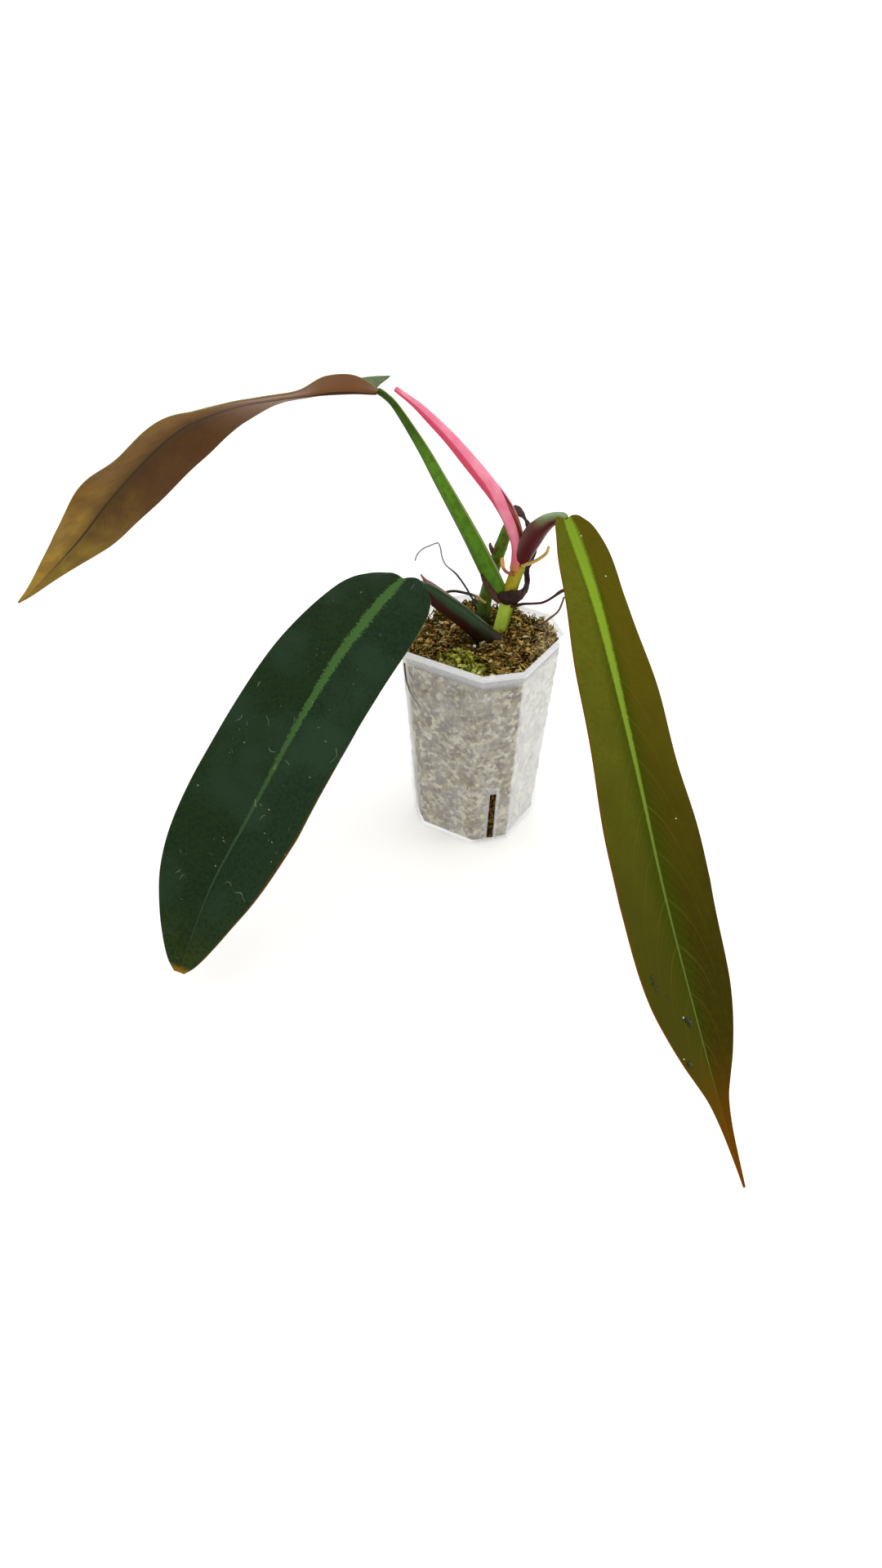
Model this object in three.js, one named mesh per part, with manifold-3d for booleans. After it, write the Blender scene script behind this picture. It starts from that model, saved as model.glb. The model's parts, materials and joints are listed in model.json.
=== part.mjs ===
// Young strap-leaved philodendron in a translucent eight-sided nursery pot.
//
// Millimetres, +Z up. The origin is the centre of the pot's underside, and the pot's four wide
// sides face along X and Y. The plant was set into the pot at an angle: its own left-right axis
// is turned by PLANT_TURN from the pot's sides, and every route of the plant is given in the
// plant's axes (x to its right, y to its back, z up) and turned with it.

import * as THREE from 'three';
import Module from 'manifold-3d';

const wasm = await Module();
wasm.setup();

// Pot: eight flat walls, four wide and four narrow corner ones, widening to a rolled rim
const POT_HEIGHT = 100;
const POT_RIM_HALF = 34;          // half of the width across the wide sides, at the rim
const POT_BASE_HALF = 26.8;       // the same at the foot
const POT_RIM_CORNER = 13.5;      // leg of the corner chamfer at the rim
const POT_BASE_CORNER = 12.1;     // and at the foot
const POT_WALL = 0.9;
const POT_FLOOR = 1.2;
const POT_EDGE = 0.8;             // bevel round the foot
const RIM_BAND = 2.7;             // height of the rim band
const RIM_LIP = 0.7;              // how far the rim band stands out of the wall

// Drain slots: one upright slot with a raised frame in each corner wall
const SLOT_WIDTH = 3.5;
const SLOT_BOTTOM = 2.2;
const SLOT_TOP = 31.5;
const SLOT_FRAME_WIDTH = 5.6;
const SLOT_FRAME_TOP = 34.5;
const SLOT_FRAME_PROUD = 0.5;

// Fits
const GAP = 0.3;                  // clearance between pieces that touch
const PLANT_TURN = THREE.MathUtils.degToRad(28.5);

// Moss: fills the pot to just under the rim, with a humped top
const MOSS_FOOT = POT_FLOOR + GAP;
const MOSS_EDGE_LEVEL = 94.5;
const MOSS_CROWN = 2.2;           // how much the middle stands above the edge
const MOSS_HUMP = 1.1;            // height of the humps
const MOSS_RING_POINTS = 32;
const MOSS_TOP_RINGS = 7;

// Blades
const BLADE_THICKNESS = 0.8;
const BLADE_ROWS = 40;
const BLADE_STATIONS = [-1, -0.7, -0.38, -0.08, 0, 0.08, 0.38, 0.7, 1];

// Drawing helpers: a smooth value along a list of [place, value] stops, and turned points

function valueAt(stops, place) {
  const last = stops.length - 1;
  if (place <= stops[0][0]) return stops[0][1];
  if (place >= stops[last][0]) return stops[last][1];
  let i = 0;
  while (place > stops[i + 1][0]) i += 1;
  const slope = (k) => {
    const before = stops[Math.max(k - 1, 0)];
    const after = stops[Math.min(k + 1, last)];
    return (after[1] - before[1]) / (after[0] - before[0]);
  };
  const [x0, y0] = stops[i];
  const [x1, y1] = stops[i + 1];
  const span = x1 - x0;
  const t = (place - x0) / span;
  const t2 = t * t;
  const t3 = t2 * t;
  return (2 * t3 - 3 * t2 + 1) * y0 + (t3 - 2 * t2 + t) * span * slope(i)
    + (3 * t2 - 2 * t3) * y1 + (t3 - t2) * span * slope(i + 1);
}

const UP = new THREE.Vector3(0, 0, 1);

function plantPoint([x, y, z]) {
  return new THREE.Vector3(x, y, z).applyAxisAngle(UP, PLANT_TURN);
}

function plantCurve(points) {
  return new THREE.CatmullRomCurve3(points.map(plantPoint), false, 'catmullrom', 0.5);
}

// Solid makers: rings joined into a closed skin, and two facing grids joined into a thin sheet

function indexed(points, triangles) {
  const geometry = new THREE.BufferGeometry();
  const coordinates = points.flatMap((p) => [p.x, p.y, p.z]);
  geometry.setAttribute('position', new THREE.Float32BufferAttribute(coordinates, 3));
  let volume = 0;
  for (const [a, b, c] of triangles) {
    volume += points[a].dot(new THREE.Vector3().crossVectors(points[b], points[c]));
  }
  geometry.setIndex(triangles.flatMap(([a, b, c]) => (volume < 0 ? [a, c, b] : [a, b, c])));
  return geometry;
}

function skin(rings) {
  const count = rings[0].length;
  const points = rings.flat();
  const triangles = [];
  for (let r = 0; r < rings.length - 1; r += 1) {
    for (let j = 0; j < count; j += 1) {
      const a = r * count + j;
      const b = r * count + (j + 1) % count;
      triangles.push([a, b, b + count], [a, b + count, a + count]);
    }
  }
  const closeWith = (ring, first, reversed) => {
    const centre = ring.reduce((sum, p) => sum.add(p), new THREE.Vector3()).divideScalar(count);
    points.push(centre);
    for (let j = 0; j < count; j += 1) {
      const a = first + j;
      const b = first + (j + 1) % count;
      triangles.push(reversed ? [points.length - 1, b, a] : [points.length - 1, a, b]);
    }
  };
  closeWith(rings[0], 0, true);
  closeWith(rings[rings.length - 1], (rings.length - 1) * count, false);
  return indexed(points, triangles);
}

function sheet(upper, lower) {
  const rows = upper.length;
  const columns = upper[0].length;
  const points = [...upper.flat(), ...lower.flat()];
  const under = rows * columns;
  const at = (r, c) => r * columns + c;
  const triangles = [];
  for (let r = 0; r < rows - 1; r += 1) {
    for (let c = 0; c < columns - 1; c += 1) {
      const [a, b, d, e] = [at(r, c), at(r, c + 1), at(r + 1, c), at(r + 1, c + 1)];
      triangles.push([a, b, e], [a, e, d]);
      triangles.push([under + a, under + e, under + b], [under + a, under + d, under + e]);
    }
  }
  const edge = (a, b) => triangles.push([b, a, under + a], [b, under + a, under + b]);
  for (let r = 0; r < rows - 1; r += 1) {
    edge(at(r + 1, 0), at(r, 0));
    edge(at(r, columns - 1), at(r + 1, columns - 1));
  }
  for (let c = 0; c < columns - 1; c += 1) {
    edge(at(0, c), at(0, c + 1));
    edge(at(rows - 1, c + 1), at(rows - 1, c));
  }
  return indexed(points, triangles);
}

function toSolid(geometry) {
  return new wasm.Manifold(new wasm.Mesh({
    numProp: 3,
    vertProperties: new Float32Array(geometry.attributes.position.array),
    triVerts: new Uint32Array(geometry.index.array),
  }));
}

function toGeometry(solid) {
  const mesh = solid.getMesh();
  const geometry = new THREE.BufferGeometry();
  geometry.setAttribute('position', new THREE.Float32BufferAttribute(mesh.vertProperties, 3));
  geometry.setIndex(Array.from(mesh.triVerts));
  return geometry;
}

// Limbs: stems, petioles and roots are tapered tubes, and dried sheaths flat ones. GROW makes
// the same limb fatter and longer, as the cutter that keeps its neighbours clear of it.

function limb({ route, radii, steps = 12, sides = 10, flat = 1, twist = 0 }, grow = 0) {
  const curve = plantCurve(route);
  const frames = curve.computeFrenetFrames(steps, false);
  const rings = [];
  for (let i = 0; i <= steps; i += 1) {
    const place = i / steps;
    const end = i === 0 ? -grow : (i === steps ? grow : 0);
    const centre = curve.getPointAt(place).addScaledVector(frames.tangents[i], end);
    const wide = valueAt(radii, place) + grow;
    const thin = valueAt(radii, place) * flat + grow;
    const ring = [];
    for (let j = 0; j < sides; j += 1) {
      const angle = (j / sides) * 2 * Math.PI;
      const across = new THREE.Vector2(wide * Math.cos(angle), thin * Math.sin(angle));
      across.rotateAround(new THREE.Vector2(), twist * place);
      ring.push(centre.clone()
        .addScaledVector(frames.normals[i], across.x)
        .addScaledVector(frames.binormals[i], across.y));
    }
    rings.push(ring);
  }
  return skin(rings);
}

const limbSolid = (spec, grow = 0) => toSolid(limb(spec, grow));

function joined(solids) {
  return solids.reduce((sum, solid) => sum.add(solid));
}

function cleared(solid, cutters) {
  return cutters.reduce((rest, cutter) => rest.subtract(cutter), solid);
}

// A cut can leave a crumb beside the body, and only the body is kept
function body(solid) {
  const pieces = solid.decompose();
  return pieces.reduce((best, piece) => (piece.volume() > best.volume() ? piece : best));
}

// Pot

function octagon(half, corner, z) {
  const long = half - corner;
  return [[long, -half], [half, -long], [half, long], [long, half],
    [-long, half], [-half, long], [-half, -long], [-long, -half]]
    .map(([x, y]) => new THREE.Vector3(x, y, z));
}

function wallHalf(z) {
  return THREE.MathUtils.lerp(POT_BASE_HALF, POT_RIM_HALF - RIM_LIP, z / POT_HEIGHT);
}

function cornerLeg(z) {
  return THREE.MathUtils.lerp(POT_BASE_CORNER, POT_RIM_CORNER, z / POT_HEIGHT);
}

// An eight-sided ring parallel to the outer wall at height z, moved in by inset
function potRing(z, inset) {
  const chamferShift = inset * (2 - Math.SQRT2);
  return octagon(wallHalf(z) - inset, cornerLeg(z) - chamferShift, z);
}

function slotBox(width, bottom, top, inward, outward) {
  const reach = (z) => (2 * wallHalf(z) - cornerLeg(z)) / Math.SQRT2;
  const height = top - bottom;
  const middle = (top + bottom) / 2;
  const box = new THREE.BoxGeometry(inward + outward, width, height);
  box.deleteAttribute('normal');
  box.deleteAttribute('uv');
  box.translate((outward - inward) / 2, 0, 0);
  box.rotateY(Math.atan2(reach(top) - reach(bottom), height));
  box.translate(reach(middle), 0, middle);
  return box;
}

function boxSolid(box, turn) {
  const corners = new Map();
  const points = [];
  const position = box.attributes.position;
  const rename = [];
  for (let i = 0; i < position.count; i += 1) {
    const p = new THREE.Vector3().fromBufferAttribute(position, i).applyAxisAngle(UP, turn);
    const key = `${p.x.toFixed(4)} ${p.y.toFixed(4)} ${p.z.toFixed(4)}`;
    if (!corners.has(key)) {
      corners.set(key, points.length);
      points.push(p);
    }
    rename.push(corners.get(key));
  }
  const triangles = [];
  for (let i = 0; i < box.index.count; i += 3) {
    triangles.push([0, 1, 2].map((k) => rename[box.index.getX(i + k)]));
  }
  return toSolid(indexed(points, triangles));
}

function potShell() {
  const bandFoot = POT_HEIGHT - RIM_BAND;
  const shell = toSolid(skin([
    octagon(POT_BASE_HALF - POT_EDGE, POT_BASE_CORNER, 0),
    potRing(POT_EDGE, 0),
    potRing(bandFoot, 0),
    potRing(bandFoot + RIM_LIP / 2, -RIM_LIP),
    potRing(POT_HEIGHT, -RIM_LIP),
    potRing(POT_HEIGHT, POT_WALL),
    potRing(POT_FLOOR, POT_WALL),
  ]));
  let pot = shell;
  for (let side = 0; side < 4; side += 1) {
    const turn = (side + 0.5) * (Math.PI / 2);
    const frame = slotBox(SLOT_FRAME_WIDTH, POT_EDGE, SLOT_FRAME_TOP, POT_WALL / 2, SLOT_FRAME_PROUD);
    pot = pot.add(boxSolid(frame, turn));
  }
  for (let side = 0; side < 4; side += 1) {
    const turn = (side + 0.5) * (Math.PI / 2);
    const slot = slotBox(SLOT_WIDTH, SLOT_BOTTOM, SLOT_TOP, 3 * POT_WALL, 3 * SLOT_FRAME_PROUD);
    pot = pot.subtract(boxSolid(slot, turn));
  }
  return toGeometry(pot);
}

// Stems: the front one carries the node, the crown and, under the moss, the rhizome and roots

const STEM_FRONT = {
  route: [[5, 10, 70], [7, 9, 84], [8.4, 7.8, 96], [11.4, 6, 113], [12.4, 6.4, 119], [16, 7.9, 131.7]],
  radii: [[0, 2.2], [0.2, 3.2], [0.45, 3.2], [0.66, 3.3], [0.73, 3.9], [0.8, 3.2], [0.94, 3.1], [1, 3.3]],
  steps: 20,
};

const STEM_BACK = {
  route: [[4.5, 12.5, 84], [0.8, 14.6, 96], [1, 17.6, 105], [3.2, 19.4, 117], [7, 22, 131],
    [9.8, 23.8, 139.5], [12.6, 25.2, 147]],
  radii: [[0, 2.6], [0.18, 3.1], [0.55, 3.0], [0.8, 2.8], [0.94, 2.4], [1, 1.6]],
};

// Roots in the moss: [turn about the stem in degrees, reach outwards, depth reached, radius]
const ROOTS = [
  [200, 24, 40, 1.3], [150, 26, 22, 1.1], [95, 19, 12, 1.2],
  [30, 17, 30, 1.0], [320, 19, 14, 1.1], [265, 21, 34, 1.2],
];

function rootSpec([turn, reach, depth, radius]) {
  const angle = THREE.MathUtils.degToRad(turn);
  const foot = new THREE.Vector3(6, 9.5, 78);
  const out = new THREE.Vector3(Math.cos(angle), Math.sin(angle), 0);
  const curl = new THREE.Vector3(-out.y, out.x, 0);
  const along = (outward, sideways, z) => out.clone().multiplyScalar(outward)
    .addScaledVector(curl, sideways).add(new THREE.Vector3(0, 0, z));
  const drop = foot.z - depth;
  return {
    route: [foot.toArray(),
      foot.clone().lerp(along(reach * 0.7, 0, foot.z), 0.6).setZ(foot.z - drop * 0.08).toArray(),
      along(reach * 0.85, reach * 0.15, foot.z - drop * 0.35).toArray(),
      along(reach, -reach * 0.1, foot.z - drop * 0.7).toArray(),
      along(reach * 0.8, reach * 0.2, depth).toArray()],
    radii: [[0, radius * 1.2], [0.4, radius], [1, radius * 0.5]],
    steps: 9,
    sides: 6,
  };
}

// Petioles: each leaves its stem stout and sheath-like and tapers to its blade

const PETIOLE_RIGHT = {
  route: [[16.3, 7.6, 131.3], [18.3, 6.1, 139.6], [21.4, 2.6, 148.7], [25, -1.7, 155.1],
    [28.7, -6, 159.4], [31.6, -9.4, 161.6], [33, -12, 162]],
  radii: [[0, 3.0], [0.15, 4.0], [0.4, 4.8], [0.65, 3.8], [0.85, 2.4], [1, 1.6]],
  steps: 14,
};

const PETIOLE_BACK = {
  route: [[9.6, 6.4, 113], [2.4, 7.4, 127], [-7, 8.2, 145], [-20, 9, 168],
    [-28, 11.6, 181], [-39, 18, 195], [-44, 21.4, 198.8], [-48, 25, 200]],
  radii: [[0, 3.6], [0.12, 4.1], [0.35, 3.6], [0.62, 2.7], [0.75, 2.15], [0.92, 1.5], [1, 1.5]],
  steps: 18,
};

const PETIOLE_LEFT = {
  route: [[9.4, 3.2, 84], [9, 0, 92], [0.4, -1.4, 101], [-9, -5, 111], [-18, -9, 120],
    [-24.6, -13.4, 127.6], [-29.6, -22, 134.4], [-33, -32, 140.4]],
  radii: [[0, 3.8], [0.2, 4.6], [0.5, 4.4], [0.66, 3.8], [0.8, 2.6], [1, 1.6]],
  steps: 16,
};

// Margin of the left petiole's sheath: a low ridge along its top that ends in a free point
const SHEATH_MARGIN = {
  route: [[-0.6, 0.6, 106.2], [-7.3, -0.4, 112.2], [-16.1, -3.9, 120.6], [-21.8, -7.6, 126.8],
    [-24.9, -10.5, 130.6], [-26.9, -12, 134.2]],
  radii: [[0, 0.6], [0.2, 1.0], [0.8, 1.1], [1, 0.4]],
  steps: 12,
  sides: 6,
};

// Blades: half widths, roll (right side up), fold (both halves up), skew (right half wider) and
// the edges' waves are given along the midrib from base (0) to tip (1). Right and left are seen
// from the base, looking to the tip with the upper face up.

const BLADE_RIGHT = {
  route: [[33, -12, 162], [44, -65, 150], [56, -117, 122], [69, -152, 84], [82, -180, 50],
    [90, -200, 31], [99, -221, 12]],
  halfWidth: [[0, 5.2], [0.02, 8.2], [0.06, 10.3], [0.12, 12.5], [0.25, 16], [0.38, 18.6], [0.5, 21],
    [0.6, 22], [0.68, 21.4], [0.75, 18.8], [0.8, 15], [0.84, 11], [0.865, 7.8], [0.89, 4.8], [0.925, 2.6],
    [0.96, 1.4], [1, 0.4]],
  roll: [[0, 12], [0.08, 12], [0.17, 18], [0.45, 19], [0.68, 13], [0.88, 12], [1, 18]],
  fold: [[0, 20], [0.08, 18], [0.17, 7], [0.6, 6], [0.85, 8], [1, 20]],
  bow: -10,
  lobe: { right: -0.6, left: 2.2, turn: 0.8, sharp: 1 },
  wave: { right: 0.8, left: 0.8, count: 4.5, shift: 0.4 },
  skew: [[0, -0.2], [0.05, -0.16], [0.12, -0.06], [0.3, -0.03], [1, -0.03]],
  rib: 1.3,
};

const BLADE_LEFT = {
  route: [[-33, -33, 143], [-43.1, -45.4, 135.3], [-58, -61, 119], [-73, -81, 98], [-89, -100, 71],
    [-105, -118, 44], [-115.3, -141, 19]],
  halfWidth: [[0, 7.8], [0.012, 12.7], [0.025, 15.6], [0.06, 19], [0.12, 21.4], [0.25, 23.2],
    [0.38, 24.5], [0.5, 25.6], [0.62, 26], [0.72, 24.6], [0.8, 21.2], [0.88, 15.4], [0.94, 10.2],
    [0.98, 5.8], [1, 2.2]],
  roll: [[0, 4], [0.06, 15], [0.2, 28], [0.36, 24], [0.75, 24], [1, 14]],
  fold: [[0, 0], [0.2, 3], [0.36, 15], [0.75, 21], [1, 16]],
  bow: -8,
  lobe: { right: 0.5, left: 3, turn: 0.8, sharp: 1 },
  wave: { right: 0.7, left: 0.7, count: 3, shift: 0.2 },
  skew: [[0, -0.2], [0.025, -0.12], [0.1, -0.02], [0.3, 0.04], [1, 0.045]],
  rib: 1.2,
};

const BLADE_BACK = {
  route: [[-48, 25, 200], [-68, 19, 201], [-93, 20, 197], [-118, 29, 188], [-141, 34, 175],
    [-171, 39, 146], [-194, 40, 120], [-219, 37, 95], [-230, 39, 85]],
  halfWidth: [[0, 8], [0.025, 10], [0.07, 12], [0.17, 15], [0.25, 17], [0.33, 18.3], [0.42, 19.4],
    [0.5, 20], [0.6, 20], [0.68, 19.4], [0.75, 18.2], [0.8, 15], [0.84, 11.4], [0.88, 8], [0.92, 5],
    [0.96, 2.4], [1, 0.5]],
  roll: [[0, 4], [0.05, -24], [0.09, -33], [0.13, -22], [0.17, -19], [0.25, -20], [0.33, -27], [0.42, -39],
    [0.5, -43], [0.8, -48], [1, -48]],
  fold: [[0, 26], [0.05, 27], [0.09, 14], [0.13, 0], [0.17, -3], [0.25, -3], [0.33, -9], [0.42, -20],
    [0.5, -18], [0.6, -14], [0.8, -7], [1, -4]],
  bow: 0,
  lobe: { right: 8, left: -1, turn: 0.4, sharp: 2 },
  wave: { right: 0.5, left: 1.8, count: 4.2, shift: 0.2 },
  skew: [[0, 0], [1, 0]],
  rib: 1.2,
};

const LOBE_LENGTH = 0.1;          // share of the blade over which the base lobes sweep back
const ROW_CROWDING = 0.02;        // draws the rows together towards base and tip
const WAVE_LAG = 0.37;            // turns by which the left edge's waves trail the right's
const RIB_REACH = 0.12;           // share of the half width that the thickened midrib takes

function blade(leaf, grow = 0) {
  const curve = plantCurve(leaf.route);
  const upper = [];
  const lower = [];
  for (let i = 0; i <= BLADE_ROWS; i += 1) {
    const place = i / BLADE_ROWS;
    const s = place - ROW_CROWDING * Math.sin(2 * Math.PI * place);
    const end = i === 0 ? -grow : (i === BLADE_ROWS ? grow : 0);
    const along = curve.getTangentAt(s);
    const centre = curve.getPointAt(s).addScaledVector(along, end);
    const level = new THREE.Vector3().crossVectors(along, UP).normalize();
    const side = level.applyAxisAngle(along, THREE.MathUtils.degToRad(-valueAt(leaf.roll, s)));
    const normal = new THREE.Vector3().crossVectors(side, along);
    const half = valueAt(leaf.halfWidth, s) + grow;
    const fold = THREE.MathUtils.degToRad(valueAt(leaf.fold, s));
    const bow = THREE.MathUtils.degToRad(leaf.bow);
    const lobeFade = Math.max(0, 1 - s / LOBE_LENGTH) ** 2;
    const upperRow = [];
    const lowerRow = [];
    for (const v of BLADE_STATIONS) {
      const out = Math.abs(v);
      const lean = fold + bow * out;
      const chord = fold + (bow * out) / 2;
      const lobe = (v < 0 ? leaf.lobe.left : leaf.lobe.right) * lobeFade;
      const sweep = lobe * Math.sin(Math.PI * leaf.lobe.turn * out) ** leaf.lobe.sharp;
      const phase = 2 * Math.PI * (leaf.wave.count * s + leaf.wave.shift + (v < 0 ? WAVE_LAG : 0));
      const height = v < 0 ? leaf.wave.left : leaf.wave.right;
      const wave = height * out ** 3 * Math.sin(phase) * Math.sin(Math.PI * s);
      const width = half * out * (1 + Math.sign(v) * valueAt(leaf.skew, s));
      const rib = leaf.rib * (1 - s) * Math.max(0, 1 - out / RIB_REACH);
      const face = normal.clone().multiplyScalar(Math.cos(lean))
        .addScaledVector(side, -Math.sign(v) * Math.sin(lean));
      const top = centre.clone()
        .addScaledVector(side, Math.sign(v) * width * Math.cos(chord))
        .addScaledVector(normal, width * Math.sin(chord))
        .addScaledVector(along, -sweep)
        .addScaledVector(face, wave + grow);
      upperRow.push(top);
      lowerRow.push(top.clone().addScaledVector(face, -(BLADE_THICKNESS + rib + 2 * grow)));
    }
    upper.push(upperRow);
    lower.push(lowerRow);
  }
  return sheet(upper, lower);
}

// Crown: a pink cataphyll, open along one side, round the next leaf, which is still rolled up

const CATAPHYLL = {
  route: [[15.3, 7.2, 128.6], [15.4, 8, 134], [14.4, 8, 141.4], [11.2, 7.4, 151.4], [5.6, 7.2, 161.1],
    [-1.5, 8, 169.7], [-8.9, 9.4, 177.7], [-16.5, 11, 185.7], [-24.7, 13, 193], [-31.3, 14.6, 198.4],
    [-39.6, 16.4, 203.8]],
  radii: [[0, 3.9], [0.05, 3.5], [0.12, 3.1], [0.23, 3.6], [0.42, 3.5], [0.56, 3.2], [0.7, 2.7], [0.82, 2.2],
    [0.93, 1.5], [1, 1.2]],
  opening: [[0, 130], [0.12, 90], [0.3, 80], [0.42, 44], [0.5, 22], [0.8, 16], [1, 40]],
  openTurn: [[0, 0], [0.3, 0], [0.45, 32], [1, 36]],
  openTowards: [0.8, -0.3, 0.5],
  thickness: 0.7,
  steps: 18,
  columns: 9,
};

const NEW_LEAF = {
  route: [[15.6, 8.2, 132], [15.4, 7.9, 141], [12.6, 7, 151], [8.4, 6.6, 158.6], [4.4, 6.4, 166.6]],
  radii: [[0, 1.7], [0.2, 2.2], [0.5, 2.3], [0.8, 1.5], [1, 0.4]],
  steps: 12,
  sides: 8,
};

function cataphyll(spec, grow = 0) {
  const { route, radii, opening, openTurn, openTowards, thickness, steps, columns } = spec;
  const curve = plantCurve(route);
  const facing = new THREE.Vector3(...openTowards).applyAxisAngle(UP, PLANT_TURN);
  const outer = [];
  const inner = [];
  for (let i = 0; i <= steps; i += 1) {
    const s = i / steps;
    const along = curve.getTangentAt(s);
    const centre = curve.getPointAt(s);
    const side = new THREE.Vector3().crossVectors(along, facing).normalize();
    const back = new THREE.Vector3().crossVectors(side, along);
    const radius = valueAt(radii, s);
    const gape = THREE.MathUtils.degToRad(valueAt(opening, s) / 2);
    const turn = THREE.MathUtils.degToRad(valueAt(openTurn, s));
    const outerRow = [];
    const innerRow = [];
    for (let j = 0; j <= columns; j += 1) {
      const angle = turn + gape + ((2 * Math.PI - 2 * gape) * j) / columns;
      const spoke = back.clone().multiplyScalar(Math.cos(angle)).addScaledVector(side, Math.sin(angle));
      outerRow.push(centre.clone().addScaledVector(spoke, radius + grow));
      innerRow.push(centre.clone().addScaledVector(spoke, radius - thickness - grow));
    }
    outer.push(outerRow);
    inner.push(innerRow);
  }
  return sheet(outer, inner);
}

// Dried sheaths: thin flat straps left by the old leaves

const SHEATH_LONG = {
  route: [[6.8, 2.6, 117.1], [13.6, 2.9, 116.8], [18.2, 6.3, 117.8], [19.8, 10.4, 120.6], [19.5, 13.9, 125],
    [21.3, 16.9, 129], [23, 19, 133], [22.6, 20.6, 137.2], [20.4, 20.5, 141.4], [18, 18.8, 146.5],
    [15.6, 17.8, 150.2], [13, 17, 152.6], [11, 15.4, 152.4]],
  radii: [[0, 2.4], [0.12, 4.2], [0.22, 3.2], [0.32, 2.0], [0.42, 1.6], [0.5, 1.1], [0.64, 0.7], [0.76, 1.5],
    [0.84, 0.7], [0.93, 1.9], [1, 1.2]],
  flat: 0.45,
  steps: 36,
  sides: 8,
  twist: 2.8,
};

const SHEATH_LEFT = {
  route: [[8.3, 3.2, 114.6], [5.4, 3.2, 118.3], [1.4, 3.6, 123.5], [-1.1, 3.9, 127.3]],
  radii: [[0, 2.4], [0.35, 3.2], [0.8, 1.9], [1, 0.7]],
  flat: 0.4,
  steps: 8,
  sides: 8,
};

const BRACT = {
  route: [[4.4, 20.4, 129.6], [3.2, 18.8, 132.6], [2.5, 17.2, 135], [2.4, 16, 136.8]],
  radii: [[0, 1.2], [0.5, 1.0], [1, 0.4]],
  steps: 5,
  sides: 7,
};

// Aerial roots: each starts on its stem, or in the moss, and tapers to its tip

const GOLD_RIGHT = {
  route: [[16.4, 5.4, 131.4], [20.6, 3.4, 134], [24, 2.6, 136.4], [27, 2.4, 139.4], [27.9, 2.8, 142.6]],
  radii: [[0, 1.0], [0.4, 0.8], [1, 0.7]],
  steps: 8,
  sides: 7,
};
const GOLD_LEFT = {
  route: [[15, 6.4, 126.6], [11.9, 3.6, 128.2], [9.4, 2.6, 130.2], [8.2, 2.4, 133], [7.9, 2.6, 136.4]],
  radii: [[0, 0.9], [0.6, 0.7], [0.85, 1.0], [1, 0.7]],
  steps: 8,
  sides: 7,
};
const DARK_RIGHT = {
  route: [[12.8, 3.4, 112], [14.8, 2.6, 113], [18.3, 1.4, 114.7], [22.5, 0.6, 115.5], [26.1, 0, 116.3],
    [28.8, -0.4, 117.8], [31.5, -0.6, 120], [34.3, -0.6, 122.5], [37, -0.6, 124]],
  radii: [[0, 0.9], [0.3, 0.6], [0.75, 0.6], [0.9, 0.8], [1, 0.6]],
  steps: 14,
  sides: 6,
};
const LOW_RIGHT = {
  route: [[36.6, 5.4, 117], [36.1, 6, 114], [35.3, 7, 110.2], [34.1, 8, 107.3], [31.7, 9, 104.3],
    [29, 10, 101.2], [25.9, 11, 98.6], [21.9, 11.5, 96.2], [15.7, 11, 93], [10.4, 9, 88]],
  radii: [[0, 0.5], [0.5, 0.55], [1, 0.7]],
  steps: 16,
  sides: 6,
};
const CURL_LEFT = {
  route: [[1.8, 13, 108.2], [-0.2, 13, 109.6], [-3.1, 13, 111.6], [-7.8, 12.6, 113.2], [-12.9, 11.4, 114.6],
    [-16.8, 10, 114.4], [-20.8, 9.2, 111.6], [-26, 9.4, 107], [-28, 10, 101], [-28, 10.4, 93]],
  radii: [[0, 0.5], [0.1, 0.65], [1, 0.6]],
  steps: 20,
  sides: 6,
};
const THREAD_LEFT = {
  route: [[-0.4, 17.6, 104], [-4, 17, 107.3], [-7.9, 16, 114.5], [-12.3, 15.2, 121.2], [-16.3, 14.8, 124.9],
    [-17.9, 14.6, 127.1], [-19.1, 14.4, 130.6], [-19.7, 14.4, 134.1], [-20.4, 14.4, 136],
    [-21.4, 14.3, 136.6], [-24.9, 14, 135.1], [-27.8, 13.6, 133.7], [-30.1, 13.3, 131], [-31, 13, 128.1]],
  radii: [[0, 0.5], [0.35, 0.5], [0.5, 0.38], [1, 0.35]],
  steps: 30,
  sides: 6,
};

// Moss plug: follows the inside of the pot and stands clear of all that grows through it

function mossLevel(x, y) {
  const spread = Math.min(1, Math.hypot(x, y) / POT_RIM_HALF);
  const humps = Math.sin(x * 0.31 + 0.6) * Math.cos(y * 0.27 - 0.4)
    + 0.6 * Math.sin(x * 0.62 - y * 0.48 + 1.3) + 0.45 * Math.cos(x * 0.9 + y * 0.83);
  return MOSS_EDGE_LEVEL + MOSS_CROWN * (1 - spread * spread) + MOSS_HUMP * humps;
}

function roundRing(corners, count) {
  const loop = new THREE.CurvePath();
  corners.forEach((corner, i) => {
    loop.add(new THREE.LineCurve3(corner, corners[(i + 1) % corners.length]));
  });
  return Array.from({ length: count }, (_, i) => loop.getPointAt(i / count));
}

function mossBody() {
  const inset = POT_WALL + GAP;
  const foot = roundRing(potRing(MOSS_FOOT, inset), MOSS_RING_POINTS);
  const edge = roundRing(potRing(MOSS_EDGE_LEVEL - 2, inset), MOSS_RING_POINTS);
  const rings = [foot, edge];
  for (let r = 0; r < MOSS_TOP_RINGS; r += 1) {
    const scale = 1 - r / MOSS_TOP_RINGS;
    rings.push(edge.map((p) => {
      const [x, y] = [p.x * scale, p.y * scale];
      return new THREE.Vector3(x, y, mossLevel(x, y));
    }));
  }
  return toSolid(skin(rings));
}

const PERLITE_RADIUS = 0.9;
const PERLITE_PLACE = [-2.6, -7, 0];

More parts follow.
